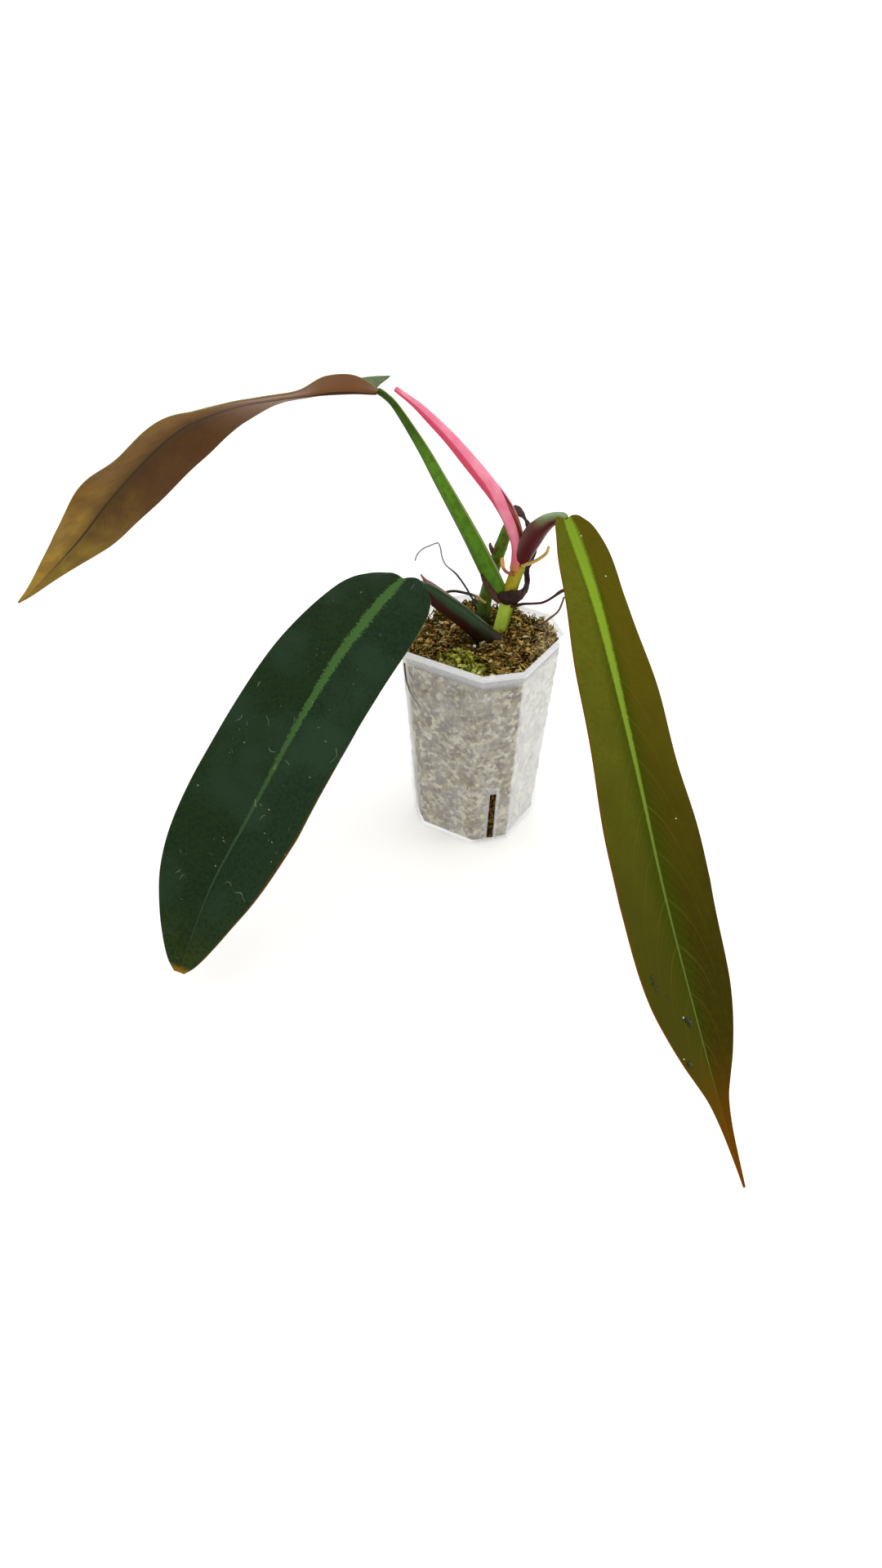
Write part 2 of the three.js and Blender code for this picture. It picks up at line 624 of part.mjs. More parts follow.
function perlite() {
  const grain = new THREE.IcosahedronGeometry(PERLITE_RADIUS, 1);
  const place = plantPoint(PERLITE_PLACE);
  grain.translate(place.x, place.y, mossLevel(place.x, place.y) + PERLITE_RADIUS + GAP);
  grain.deleteAttribute('normal');
  grain.deleteAttribute('uv');
  return grain;
}

// Assembly: what grows is cut clear of what it grows from, by GAP

const stemFront = joined([STEM_FRONT, ...ROOTS.map(rootSpec)].map((spec) => limbSolid(spec)));
const stemFrontRoom = joined([STEM_FRONT, ...ROOTS.map(rootSpec)].map((spec) => limbSolid(spec, GAP)));
const stemBack = body(cleared(limbSolid(STEM_BACK), [stemFrontRoom]));
const stemBackRoom = limbSolid(STEM_BACK, GAP);
const petioleRightRoom = limbSolid(PETIOLE_RIGHT, GAP);
const petioleBackRoom = limbSolid(PETIOLE_BACK, GAP);
const petioleLeftRoom = limbSolid(PETIOLE_LEFT, GAP);
const newLeafRoom = limbSolid(NEW_LEAF, GAP);
const cataphyllRoom = toSolid(cataphyll(CATAPHYLL, GAP));
const sheathLongRoom = limbSolid(SHEATH_LONG, GAP);
const curlRoom = limbSolid(CURL_LEFT, GAP);

const trimmed = (solid, cutters) => toGeometry(body(cleared(solid, cutters)));
const grown = (spec, cutters) => trimmed(limbSolid(spec), cutters);
const bladeRoom = (leaf) => toSolid(blade(leaf, GAP));

const petioleLeft = joined([limbSolid(PETIOLE_LEFT), limbSolid(SHEATH_MARGIN)]);

// Name, geometry, colour and roughness of every piece
const nodes = [
  ['pot_shell', potShell(), 0xdfe6ea, 0.25],
  ['moss_plug', trimmed(mossBody(),
    [stemFrontRoom, stemBackRoom, petioleLeftRoom, curlRoom, limbSolid(LOW_RIGHT, GAP)]), 0x6b5a3a, 0.95],
  ['perlite_grain', perlite(), 0xf4f4ee, 0.8],
  ['stem_front', toGeometry(stemFront), 0x9bb43a, 0.45],
  ['stem_back', toGeometry(stemBack), 0x4f6f22, 0.5],
  ['petiole_right', grown(PETIOLE_RIGHT, [stemFrontRoom, bladeRoom(BLADE_RIGHT)]), 0x4a1f24, 0.4],
  ['petiole_back', grown(PETIOLE_BACK,
    [stemFrontRoom, stemBackRoom, bladeRoom(BLADE_BACK)]), 0x4e7d26, 0.4],
  ['petiole_left', trimmed(petioleLeft, [stemFrontRoom, bladeRoom(BLADE_LEFT)]), 0x2f4a2c, 0.4],
  ['blade_right', blade(BLADE_RIGHT), 0x5f6419, 0.35],
  ['blade_back', blade(BLADE_BACK), 0x7a5530, 0.4],
  ['blade_left', blade(BLADE_LEFT), 0x1e3a28, 0.35],
  ['new_leaf_rolled', grown(NEW_LEAF, [stemFrontRoom, petioleRightRoom]), 0x5e1d17, 0.4],
  ['cataphyll_pink', trimmed(toSolid(cataphyll(CATAPHYLL)),
    [stemFrontRoom, petioleRightRoom, newLeafRoom]), 0xe98a97, 0.45],
  ['sheath_dry_long', grown(SHEATH_LONG,
    [stemFrontRoom, petioleRightRoom, petioleBackRoom, cataphyllRoom, stemBackRoom]), 0x2a1c17, 0.8],
  ['sheath_dry_left', grown(SHEATH_LEFT,
    [stemFrontRoom, petioleBackRoom, sheathLongRoom]), 0x6b3f2a, 0.8],
  ['bract_dry', grown(BRACT, [stemBackRoom, petioleBackRoom]), 0x54322a, 0.8],
  ['aerial_root_gold_right', grown(GOLD_RIGHT,
    [stemFrontRoom, petioleRightRoom, sheathLongRoom, cataphyllRoom]), 0xc9a24a, 0.6],
  ['aerial_root_gold_left', grown(GOLD_LEFT, [stemFrontRoom, petioleBackRoom]), 0xb07a35, 0.6],
  ['aerial_root_dark_right', grown(DARK_RIGHT, [stemFrontRoom, sheathLongRoom]), 0x2c211c, 0.7],
  ['aerial_root_low_right', grown(LOW_RIGHT, [stemFrontRoom]), 0x7d7264, 0.7],
  ['aerial_root_curl_left', grown(CURL_LEFT, [stemBackRoom]), 0x3a2a22, 0.7],
  ['aerial_root_thread_left', grown(THREAD_LEFT, [stemBackRoom, curlRoom]), 0x77838a, 0.7],
];

const plant = new THREE.Group();
for (const [name, geometry, color, roughness] of nodes) {
  const material = new THREE.MeshStandardMaterial({ color, roughness, metalness: 0 });
  const mesh = new THREE.Mesh(geometry, material);
  mesh.name = name;
  plant.add(mesh);
}

export default plant;
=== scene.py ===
"""Finishes the potted bicolor philodendron: skins every leaf, stalk and root over the CAD solids,
fills the pot with fibrous moss, and lights the plant on a plain pale floor.

Lengths are in millimetres, as in the part's source, until a mesh is made of them. The plant's own
axes (x to its right, y to its back, z up) are turned from the pot's by PLANT_TURN.
"""

from __future__ import annotations

import json
import logging
import math
from contextlib import contextmanager
from dataclasses import dataclass
from enum import Enum
from functools import partialmethod
from typing import Any, Iterator, Sequence

import bpy
import numpy as np
from mathutils import Matrix, Vector, noise

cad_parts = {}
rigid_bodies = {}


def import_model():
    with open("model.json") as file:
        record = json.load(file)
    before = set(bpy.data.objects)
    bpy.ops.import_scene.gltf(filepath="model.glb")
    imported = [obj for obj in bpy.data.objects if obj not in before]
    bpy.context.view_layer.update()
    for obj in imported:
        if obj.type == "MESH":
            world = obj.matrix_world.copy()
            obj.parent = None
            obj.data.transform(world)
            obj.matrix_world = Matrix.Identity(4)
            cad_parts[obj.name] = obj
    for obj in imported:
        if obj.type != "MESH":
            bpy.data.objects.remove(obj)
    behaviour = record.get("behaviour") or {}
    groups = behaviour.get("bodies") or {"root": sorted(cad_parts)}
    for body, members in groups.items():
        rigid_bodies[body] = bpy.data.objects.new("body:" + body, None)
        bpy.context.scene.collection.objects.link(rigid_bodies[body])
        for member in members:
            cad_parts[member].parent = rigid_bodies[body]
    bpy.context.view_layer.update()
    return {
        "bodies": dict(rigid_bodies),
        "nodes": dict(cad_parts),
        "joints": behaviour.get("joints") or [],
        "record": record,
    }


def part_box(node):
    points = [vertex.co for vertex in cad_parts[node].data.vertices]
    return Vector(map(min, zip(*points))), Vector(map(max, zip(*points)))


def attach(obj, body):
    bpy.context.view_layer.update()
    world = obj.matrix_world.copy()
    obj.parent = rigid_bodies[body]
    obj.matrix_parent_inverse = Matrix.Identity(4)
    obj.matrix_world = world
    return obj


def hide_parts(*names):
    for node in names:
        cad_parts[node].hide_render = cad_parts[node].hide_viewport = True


LOG = logging.getLogger("philodendron")

MM = 0.001
PLANT_TURN = math.radians(28.5)

Stops = Sequence[tuple[float, float]]
Point = tuple[float, float, float]
Route = Sequence[Point]
Colour = tuple[float, float, float, float]


def paint(red: int, green: int, blue: int) -> Colour:
    """A colour as a shader takes it, from screen values of 0 to 255."""
    screen = [level / 255 for level in (red, green, blue)]
    linear = [level / 12.92 if level < 0.0405 else ((level + 0.055) / 1.055) ** 2.4 for level in screen]
    return (linear[0], linear[1], linear[2], 1.0)


# Curves and profiles, which follow the part's source


def value_at(stops: Stops, place: float) -> float:
    """Reads a smooth value from a list of stops.

    Args:
        stops: pairs of place and value, in order of place.
        place: where to read.

    Returns:
        The value of the cubic through the stops, held level beyond both ends.
    """
    last = len(stops) - 1
    if place <= stops[0][0]:
        return stops[0][1]
    if place >= stops[last][0]:
        return stops[last][1]
    i = 0
    while place > stops[i + 1][0]:
        i += 1

    def slope(k: int) -> float:
        """The slope through a stop's two neighbours."""
        before, after = stops[max(k - 1, 0)], stops[min(k + 1, last)]
        return (after[1] - before[1]) / (after[0] - before[0])

    (x0, y0), (x1, y1) = stops[i], stops[i + 1]
    span = x1 - x0
    t = (place - x0) / span
    level = (2 * t**3 - 3 * t**2 + 1) * y0 + (3 * t**2 - 2 * t**3) * y1
    return level + (t**3 - 2 * t**2 + t) * span * slope(i) + (t**3 - t**2) * span * slope(i + 1)


def turned(points: Route) -> np.ndarray:
    """Turns points from the plant's axes to the pot's.

    Args:
        points: x, y and z of each point, in the plant's axes.

    Returns:
        The points in the pot's axes, one row each.
    """
    cosine, sine = math.cos(PLANT_TURN), math.sin(PLANT_TURN)
    turn = np.array([[cosine, -sine, 0], [sine, cosine, 0], [0, 0, 1]])
    return np.asarray(points, float) @ turn.T


def unit(vector: np.ndarray) -> np.ndarray:
    """The vector at length one."""
    return vector / np.linalg.norm(vector)


class Curve:
    """A Catmull-Rom curve through a route, read by share of its length."""

    DIVISIONS = 200

    def __init__(self, route: Route) -> None:
        """Measures the curve.

        Args:
            route: the points it passes through, in the plant's axes.
        """
        points = turned(route)
        first = 2 * points[0] - points[1]
        last = 2 * points[-1] - points[-2]
        self.knots = np.vstack([first, points, last])
        self.spans = len(points) - 1
        samples = np.array([self._raw(i / self.DIVISIONS) for i in range(self.DIVISIONS + 1)])
        steps = np.linalg.norm(np.diff(samples, axis=0), axis=1)
        self.lengths = np.concatenate([[0.0], np.cumsum(steps)])
        self.length = float(self.lengths[-1])

    def _raw(self, t: float) -> np.ndarray:
        """The point at parameter t, which isn't even along the length."""
        at = min(max(t, 0.0), 1.0) * self.spans
        k = min(int(at), self.spans - 1)
        w = at - k
        p0, p1, p2, p3 = self.knots[k : k + 4]
        a, b = (p2 - p0) / 2, (p3 - p1) / 2
        return (2 * p1 - 2 * p2 + a + b) * w**3 + (3 * p2 - 3 * p1 - 2 * a - b) * w**2 + a * w + p1

    def _parameter(self, s: float) -> float:
        """The parameter at share s of the length."""
        return float(np.interp(s * self.length, self.lengths, np.linspace(0, 1, self.DIVISIONS + 1)))

    def point(self, s: float) -> np.ndarray:
        """The point at share s of the length."""
        return self._raw(self._parameter(s))

    def along(self, s: float) -> np.ndarray:
        """The unit direction of the curve at share s of the length."""
        t = self._parameter(s)
        return unit(self._raw(min(t + 1e-4, 1.0)) - self._raw(max(t - 1e-4, 0.0)))

    def frames(self, places: Sequence[float]) -> list[tuple[np.ndarray, np.ndarray, np.ndarray]]:
        """Carries a pair of cross directions along the curve without twist.

        Args:
            places: the shares of the length to give them at, in order.

        Returns:
            The direction along the curve and the two directions across it, for each place.
        """
        along = self.along(places[0])
        start = np.zeros(3)
        start[2 - int(np.argmin(np.abs(along)[::-1]))] = 1.0
        normal = np.cross(along, unit(np.cross(along, start)))
        found = []
        for place in places:
            turned_to = self.along(place)
            axis = np.cross(along, turned_to)
            if np.linalg.norm(axis) > 1e-9:
                angle = math.acos(min(1.0, max(-1.0, float(along @ turned_to))))
                normal = np.array(Matrix.Rotation(angle, 3, Vector(axis)) @ Vector(normal))
            along = turned_to
            found.append((along, normal, np.cross(along, normal)))
        return found


# Mesh helpers


def deselect() -> None:
    """Leaves edit mode and deselects everything."""
    if bpy.context.object and bpy.context.object.mode == "EDIT":
        bpy.ops.object.mode_set(mode="OBJECT")
    bpy.ops.object.select_all(action="DESELECT")


def pick(piece: bpy.types.Object) -> None:
    """Selects one piece and makes it the active one."""
    deselect()
    piece.select_set(True)
    bpy.context.view_layer.objects.active = piece


@contextmanager
def editing(piece: bpy.types.Object) -> Iterator[None]:
    """Opens a piece in edit mode with all of it selected, and closes it again."""
    pick(piece)
    bpy.ops.object.mode_set(mode="EDIT")
    bpy.ops.mesh.select_all(action="SELECT")
    yield
    bpy.ops.object.mode_set(mode="OBJECT")


def copied(solid: bpy.types.Object, name: str) -> bpy.types.Object:
    """A copy of a CAD solid under a new name, with its doubled points merged."""
    piece = solid.copy()
    piece.data = solid.data.copy()
    piece.name = piece.data.name = name
    bpy.context.collection.objects.link(piece)
    with editing(piece):
        bpy.ops.mesh.remove_doubles(threshold=0.005 * MM)
    return piece


def modify(piece: bpy.types.Object, kind: str, **settings: Any) -> None:
    """Applies a modifier of one kind with the given settings to the picked piece."""
    modifier = piece.modifiers.new(kind, kind)
    for name, setting in settings.items():
        setattr(modifier, name, setting)
    bpy.ops.object.modifier_apply(modifier=modifier.name)


def bent_grid(name: str, places: np.ndarray) -> bpy.types.Object:
    """Adds a flat grid and bends it to its shape.

    Args:
        name: the new piece's name.
        places: where each grid point goes, in millimetres, as rows x columns x 3.

    Returns:
        The bent grid, with the flat grid's place of every point kept as its UV.
    """
    rows, columns = places.shape[0] - 1, places.shape[1] - 1
    deselect()
    bpy.ops.mesh.primitive_grid_add(x_subdivisions=rows, y_subdivisions=columns, size=1.0, calc_uvs=True)
    piece = bpy.context.object
    piece.name = piece.data.name = name
    flat = np.empty(len(piece.data.vertices) * 3)
    piece.data.vertices.foreach_get("co", flat)
    index = np.rint((flat.reshape(-1, 3)[:, :2] + 0.5) * (rows, columns)).astype(int)
    bent = places[index[:, 0], index[:, 1]] * MM
    piece.data.vertices.foreach_set("co", bent.ravel())
    piece.data.update()
    return piece


def grid_uv(piece: bpy.types.Object) -> np.ndarray:
    """The UV of each face corner of a bent grid, one row each."""
    layer = piece.data.uv_layers[0].data
    flat = np.empty(len(layer) * 2)
    layer.foreach_get("uv", flat)
    return flat.reshape(-1, 2)


def map_grid(piece: bpy.types.Object, along: Sequence[float], across: Sequence[float]) -> None:
    """Gives a bent grid the UV that its finish reads.

    Args:
        piece: a bent grid that isn't sewn yet.
        along: the U of each row.
        across: the V of each column.
    """
    uv = grid_uv(piece)
    rows = np.rint(uv[:, 0] * (len(along) - 1)).astype(int)
    columns = np.rint(uv[:, 1] * (len(across) - 1)).astype(int)
    mapped = np.column_stack([np.asarray(along)[rows], np.asarray(across)[columns]])
    piece.data.uv_layers[0].data.foreach_set("uv", mapped.ravel())


def halve_slots(piece: bpy.types.Object) -> None:
    """Gives the first half of a bent grid's columns slot 0 and the second half slot 1."""
    middle = grid_uv(piece).reshape(-1, 4, 2)[:, :, 1].mean(axis=1)
    piece.data.polygons.foreach_set("material_index", (middle > 0.5).astype(int))


def sew(piece: bpy.types.Object) -> None:
    """Closes a bent grid's seam and poles, points its faces outwards and smooths it."""
    with editing(piece):
        bpy.ops.mesh.remove_doubles(threshold=0.002 * MM)
        bpy.ops.mesh.normals_make_consistent(inside=False)
    bpy.ops.object.shade_smooth()


def join(pieces: Sequence[bpy.types.Object], name: str) -> bpy.types.Object:
    """Joins pieces into the first one and names it."""
    pick(pieces[0])
    for piece in pieces[1:]:
        piece.select_set(True)
    bpy.ops.object.join()
    joined = bpy.context.object
    joined.name = joined.data.name = name
    return joined


def hang(piece: bpy.types.Object, node: str | None) -> None:
    """Hangs a painted piece in the frame.

    Args:
        piece: the finished piece.
        node: the CAD node that it stands for, or None for an added piece.
    """
    if node:
        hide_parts(node)
    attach(piece, "root")
    LOG.info("%s: %d faces", piece.name, len(piece.data.polygons))


def dress(piece: bpy.types.Object, node: str | None, slot: str, *finishes: bpy.types.Material) -> None:
    """Paints a piece and hangs it in the frame.

    Args:
        piece: the finished piece.
        node: the CAD node that it stands for, or None for an added piece.
        slot: the record's material slot; not used.
        finishes: the materials, in the order of the piece's slots.
    """
    indices = np.empty(len(piece.data.polygons), int)
    piece.data.polygons.foreach_get("material_index", indices)
    piece.data.materials.clear()
    for finish in finishes:
        piece.data.materials.append(finish)
    piece.data.polygons.foreach_set("material_index", indices)
    hang(piece, node)


# Shader helpers


class Value:
    """A number that varies over a surface: a socket with Python's own arithmetic."""

    def __init__(self, shade: Shade, socket: bpy.types.NodeSocket) -> None:
        """Wraps a socket of the shade's tree."""
        self.shade = shade
        self.socket = socket

    def math(self, operation: str, *others: Value | float) -> Value:
        """This value put through a Math node, with one more value where the operation takes two."""
        return self.shade.math(operation, self, *others)

    __add__ = __radd__ = partialmethod(math, "ADD")
    __sub__ = partialmethod(math, "SUBTRACT")
    __mul__ = __rmul__ = partialmethod(math, "MULTIPLY")
    __truediv__ = partialmethod(math, "DIVIDE")
    __pow__ = partialmethod(math, "POWER")
    __abs__ = partialmethod(math, "ABSOLUTE")
    sine = partialmethod(math, "SINE")
    cosine = partialmethod(math, "COSINE")
    larger = partialmethod(math, "MAXIMUM")
    smaller = partialmethod(math, "MINIMUM")

    def __rsub__(self, other: float) -> Value:
        """A number less this value."""
        return self.shade.math("SUBTRACT", other, self)

    def rise(self, low: float, high: float) -> Value:
        """A smooth step from 0 at low to 1 at high, where low may be the higher number."""
        made = self.shade.node(
            "ShaderNodeMapRange",
            {"interpolation_type": "SMOOTHSTEP"},
            {"Value": self, "From Min": low, "From Max": high},
        )
        return Value(self.shade, made.outputs["Result"])


class Shade:
    """One material's node tree."""

    def __init__(self, name: str) -> None:
        """Starts an empty material."""
        self.material = bpy.data.materials.new(name)
        self.material.use_nodes = True
        self.tree = self.material.node_tree
        self.tree.nodes.clear()

    def node(self, kind: str, settings: dict[str, Any], inputs: dict[str | int, Any]) -> bpy.types.Node:
        """Adds a node.

        Args:
            kind: the node's type.
            settings: its properties, set first.
            inputs: its sockets' numbers, colours or links, by name or index.

        Returns:
            The node.
        """
        made = self.tree.nodes.new(kind)
        for name, setting in settings.items():
            setattr(made, name, setting)
        for key, given in inputs.items():
            link = given.socket if isinstance(given, Value) else given
            if isinstance(link, bpy.types.NodeSocket):
                self.tree.links.new(link, made.inputs[key])
            else:
                made.inputs[key].default_value = link
        return made

    def math(self, operation: str, *values: Value | float) -> Value:
        """Adds a Math node on up to two values."""
        made = self.node("ShaderNodeMath", {"operation": operation}, dict(enumerate(values)))
        return Value(self, made.outputs[0])

    def blend(self, mask: Value | float, under: Any, over: Any) -> bpy.types.NodeSocket:
        """Mixes two colours, and shows the second where the mask is 1."""
        made = self.node("ShaderNodeMix", {"data_type": "RGBA"}, {0: mask, 6: under, 7: over})
        return made.outputs[2]

    def place(self) -> bpy.types.NodeSocket:
        """The point on the surface, in the object's own metres."""
        return self.node("ShaderNodeTexCoord", {}, {}).outputs["Object"]

    def axes(self, vector: bpy.types.NodeSocket) -> tuple[Value, Value, Value]:
        """The three numbers of a vector."""
        made = self.node("ShaderNodeSeparateXYZ", {}, {0: vector})
        return Value(self, made.outputs[0]), Value(self, made.outputs[1]), Value(self, made.outputs[2])

    def skin(self) -> tuple[Value, Value]:
        """The piece's own UV: the share along it and the share across or round it."""
        made = self.node("ShaderNodeTexCoord", {}, {})
        u, v, _ = self.axes(made.outputs["UV"])
        return u, v

    def grain(self, size: float, detail: float = 2.0, at: bpy.types.NodeSocket | None = None) -> Value:
        """Noise with features of the given size in millimetres, around 0.5."""
        inputs = {"Vector": at or self.place(), "Scale": 1 / (size * MM), "Detail": detail}
        return Value(self, self.node("ShaderNodeTexNoise", {}, inputs).outputs["Fac"])

    def cells(self, size: float, drift: float) -> Value:
        """Flat patches of the given size in millimetres, with ragged edges, each at a level of its own."""
        inputs = {"Vector": self.place(), "Scale": 2 / (size * MM), "Detail": 3.0}
        cloud = self.node("ShaderNodeTexNoise", {}, inputs).outputs["Color"]
        moved = self.node("ShaderNodeVectorMath", {"operation": "MULTIPLY_ADD"},
                          {0: cloud, 1: (drift * MM,) * 3, 2: self.place()}).outputs[0]
        made = self.node("ShaderNodeTexVoronoi", {}, {"Vector": moved, "Scale": 1 / (size * MM)})
        return self.axes(made.outputs["Color"])[0]

    def stretched(self, x: Value, y: Value) -> bpy.types.NodeSocket:
        """A vector of two values, for a pattern that is longer one way."""
        return self.node("ShaderNodeCombineXYZ", {}, {0: x, 1: y}).outputs[0]

    def relief(self, height: Value, depth: float) -> bpy.types.NodeSocket:
        """A bump from a height of 0 to 1, as deep as given in millimetres."""
        inputs = {"Height": height, "Strength": 1.0, "Distance": depth * MM}
        return self.node("ShaderNodeBump", {}, inputs).outputs["Normal"]

    def finish(self, **inputs: Any) -> bpy.types.Material:
        """Closes the tree with a Principled shader.

        Args:
            inputs: its sockets' values or links, with spaces written as underscores.

        Returns:
            The material.
        """
        sockets = {name.replace("_", " "): given for name, given in inputs.items()}
        shader = self.node("ShaderNodeBsdfPrincipled", {}, sockets)
        self.node("ShaderNodeOutputMaterial", {}, {"Surface": shader.outputs[0]})
        return self.material


# Finishes


@dataclass(frozen=True)
class LeafFace:
    """One face of a blade: its two halves, midrib band, side veins, margin and tip."""

    name: str
    lamina: tuple[Colour, Colour]     # the left half, at the base and at the tip
    mottle: Colour
    rib: tuple[Colour, Colour]        # the midrib band, at the base and at the tip
    margin: Colour
    tip: Colour
    vein: Colour
    other: tuple[Colour, Colour] | None = None    # the right half, where it differs from the left
    turns: tuple[float, float] = (0.15, 0.8)      # shares of the length where the colour turns
    rib_turns: tuple[float, float] = (0.15, 0.8)
    # beside_rib: painted shade of the midrib groove on the olive top, a darker tone of its own on the copper
    # underside
    beside_rib: Colour | None = None
    beside_reach: float = 0.35
    beside_share: float = 0.8
    cloud: Colour | None = None       # colour of broad patches
    cloud_size: float = 26.0
    cloud_share: float = 0.6
    mottle_size: float = 3.0
    mottle_share: float = 0.5
    rib_at_base: float = 0.14         # half width of the midrib band, as a share of the half blade
    rib_at_tip: float = 0.02
    rib_narrows_to: float = 1.0       # share of the length where the band is at its narrowest
    rib_power: float = 1.3            # how early it narrows
    rib_soft: float = 0.225           # softness of the band's edges, as a share of its half width
    rib_fray: float = 0.0
    rib_line: Colour | None = None    # a thin line in the middle of the band
    margin_width: float = 0.02
    flush: Colour | None = None       # colour that the left edge takes on
    flush_reach: float = 0.94
    flush_from: float = 0.4
    lobe: Colour | None = None        # colour at the very base
    lobe_to: float = 0.05
    tip_from: float = 0.975
    veins: float = 16.0
    fine_veins: float = 70.0
    vein_show: float = 0.1
    specks: float = 0.0
    scratches: float = 0.0
    mark: Colour = (0.4, 0.42, 0.34, 1.0)         # colour of specks and scratches
    roughness: float = 0.42
    gloss: float = 0.05

    def build(self) -> bpy.types.Material:
        """Builds the face's material from its UV and place."""
        shade = Shade(self.name)
        s, v = shade.skin()
        q = v * 2 - 1
        out = abs(q)
        fine = shade.grain(0.9, 4)
        broad = shade.grain(14, 3)
        mid = shade.grain(self.mottle_size, 4)
        onward = (s + (broad - 0.5) * 0.3).rise(*self.turns)
        right = (q + (broad - 0.5) * 0.2).rise(0.1, -0.1)
        halves = [shade.blend(onward, *colours) for colours in (self.lamina, self.other or self.lamina)]
        colour = shade.blend(right, *halves)
        colour = shade.blend(mid.rise(0.42, 0.66) * self.mottle_share, colour, self.mottle)
        if self.cloud:
            patches = shade.grain(self.cloud_size, 2).rise(0.42, 0.68)
            colour = shade.blend(patches * self.cloud_share, colour, self.cloud)
        # beside the midrib band: painted shade of the groove on the olive top, a darker tone on the copper
        # underside
        if self.beside_rib:
            reach = (out + (broad - 0.5) * 0.15).rise(self.beside_reach, 0.02) * s.rise(1.0, 0.6)
            colour = shade.blend(reach * self.beside_share, colour, self.beside_rib)
        swept = s - out * 0.08 - out ** 3 * 0.2 + (broad - 0.5) * 0.012
        coarse = abs((swept * (self.veins * math.pi)).sine()).rise(0.16, 0.0) * out.rise(1.0, 0.75)
        slim = abs((swept * (self.fine_veins * math.pi)).sine()).rise(0.5, 0.0)
        colour = shade.blend((coarse + slim * 0.4) * self.vein_show, colour, self.vein)
        if self.lobe:
            base = (s + (mid - 0.5) * 0.03).rise(self.lobe_to, self.lobe_to * 0.4)
            colour = shade.blend(base, colour, self.lobe)
        if self.flush:
            edge = (q * -1 + (mid - 0.5) * 0.12).rise(self.flush_reach, 1.0)
            edge = edge * (s + (broad - 0.5) * 0.3).rise(self.flush_from, self.flush_from + 0.3)
            colour = shade.blend(edge * 0.9, colour, self.flush)
        left_of_way = 1 - (s / self.rib_narrows_to).smaller(1.0)
        band = self.rib_at_tip + (self.rib_at_base - self.rib_at_tip) * left_of_way ** self.rib_power
        frayed = out + (fine - 0.5) * self.rib_fray * band * 6
        rib_mask = (frayed / band).rise(0.925 + self.rib_soft, 0.925 - self.rib_soft)
        colour = shade.blend(rib_mask, colour, shade.blend(s.rise(*self.rib_turns), *self.rib))
        if self.rib_line:
            colour = shade.blend((out / band).rise(0.32, 0.1) * 0.85, colour, self.rib_line)
        at_margin = (out + (fine - 0.5) * 0.02).rise(1 - self.margin_width, 1.0)
        colour = shade.blend(at_margin, colour, self.margin)
        colour = shade.blend((s + (mid - 0.5) * 0.02).rise(self.tip_from, 1.0), colour, self.tip)
        if self.specks:
            dust = shade.grain(1.7, 1).rise(0.79 - self.specks * 0.1, 0.83)
            colour = shade.blend(dust * 0.6, colour, self.mark)
        if self.scratches:
            hair = abs(shade.grain(12, 1) - 0.5).rise(0.004, 0.001) * shade.grain(7, 1).rise(0.63, 0.68)
            colour = shade.blend(hair * self.scratches, colour, self.mark)
        height = (fine * 0.25 + coarse * -0.5 + rib_mask * 0.2 + mid * 0.4) * 0.8
        return shade.finish(
            Base_Color=colour,
            Roughness=(fine - 0.5) * 0.25 + self.roughness,
            Normal=shade.relief(height, 0.16),
            Specular_IOR_Level=self.gloss,
        )


@dataclass(frozen=True)
class StalkSkin:
    """Waxy skin of a stem or petiole, one colour towards its facing side and one away from it: partly the
    stalk's own two tones, partly painted light and shade.
    """

    name: str
    front: Colour
    back: Colour
    foot: Colour
    head: Colour
    blotch: Colour | None = None
    edge: float = 0.0                 # how far round the front colour reaches, -1 to 1
    soft: float = 0.35
    foot_to: float = 0.0
    head_from: float = 1.0
    head_soft: float = 0.25
    streaks: float = 0.35
    stripe: Colour | None = None
    stripe_turn: float = 0.25         # where round the stalk the pale stripe runs, in turns
    ring: Colour | None = None
    ring_at: float = 0.7
    ring_width: float = 0.03
    roughness: float = 0.36
    gloss: float = 0.1

    def build(self) -> bpy.types.Material:
        """Builds the skin's material from its UV and place."""
        shade = Shade(self.name)
        s, v = shade.skin()
        fine = shade.grain(0.8, 3)
        patch = shade.grain(5, 3)
        streak = shade.grain(1.0, 3, shade.stretched(s * 0.012, v * 0.02))
        towards = (v * (2 * math.pi)).cosine()
        # front colour towards the facing side, back colour away: on the bright stem and the maroon petiole a
        # painted highlight and painted shade
        mask = (towards + (patch - 0.5) * 0.5).rise(self.edge - self.soft, self.edge + self.soft)
        ragged = s + (patch - 0.5) * 0.12
        foot = ragged.rise(self.foot_to, self.foot_to - 0.2)
        head = ragged.rise(self.head_from, self.head_from + self.head_soft)
        colour = shade.blend(head, self.front, self.head)
        if self.blotch:
            colour = shade.blend(shade.grain(3.2, 4).rise(0.46, 0.6) * 0.55, colour, self.blotch)
        colour = shade.blend(mask, self.back, colour)
        colour = shade.blend((streak - 0.5).rise(0.0, 0.2) * self.streaks, colour, self.back)
        if self.stripe:
            line = ((v - self.stripe_turn) * (2 * math.pi)).cosine().rise(0.93, 0.99)
            colour = shade.blend(line * 0.8, colour, self.stripe)
        colour = shade.blend(foot, colour, self.foot)
        if self.ring:
            near = abs(s - self.ring_at + (patch - 0.5) * 0.02).rise(self.ring_width, self.ring_width * 0.4)
            colour = shade.blend(near, colour, self.ring)
        return shade.finish(
            Base_Color=colour,
            Roughness=(fine - 0.5) * 0.3 + self.roughness,
            Normal=shade.relief(streak * 0.7 + fine * 0.4, 0.12),
            Specular_IOR_Level=self.gloss,
        )


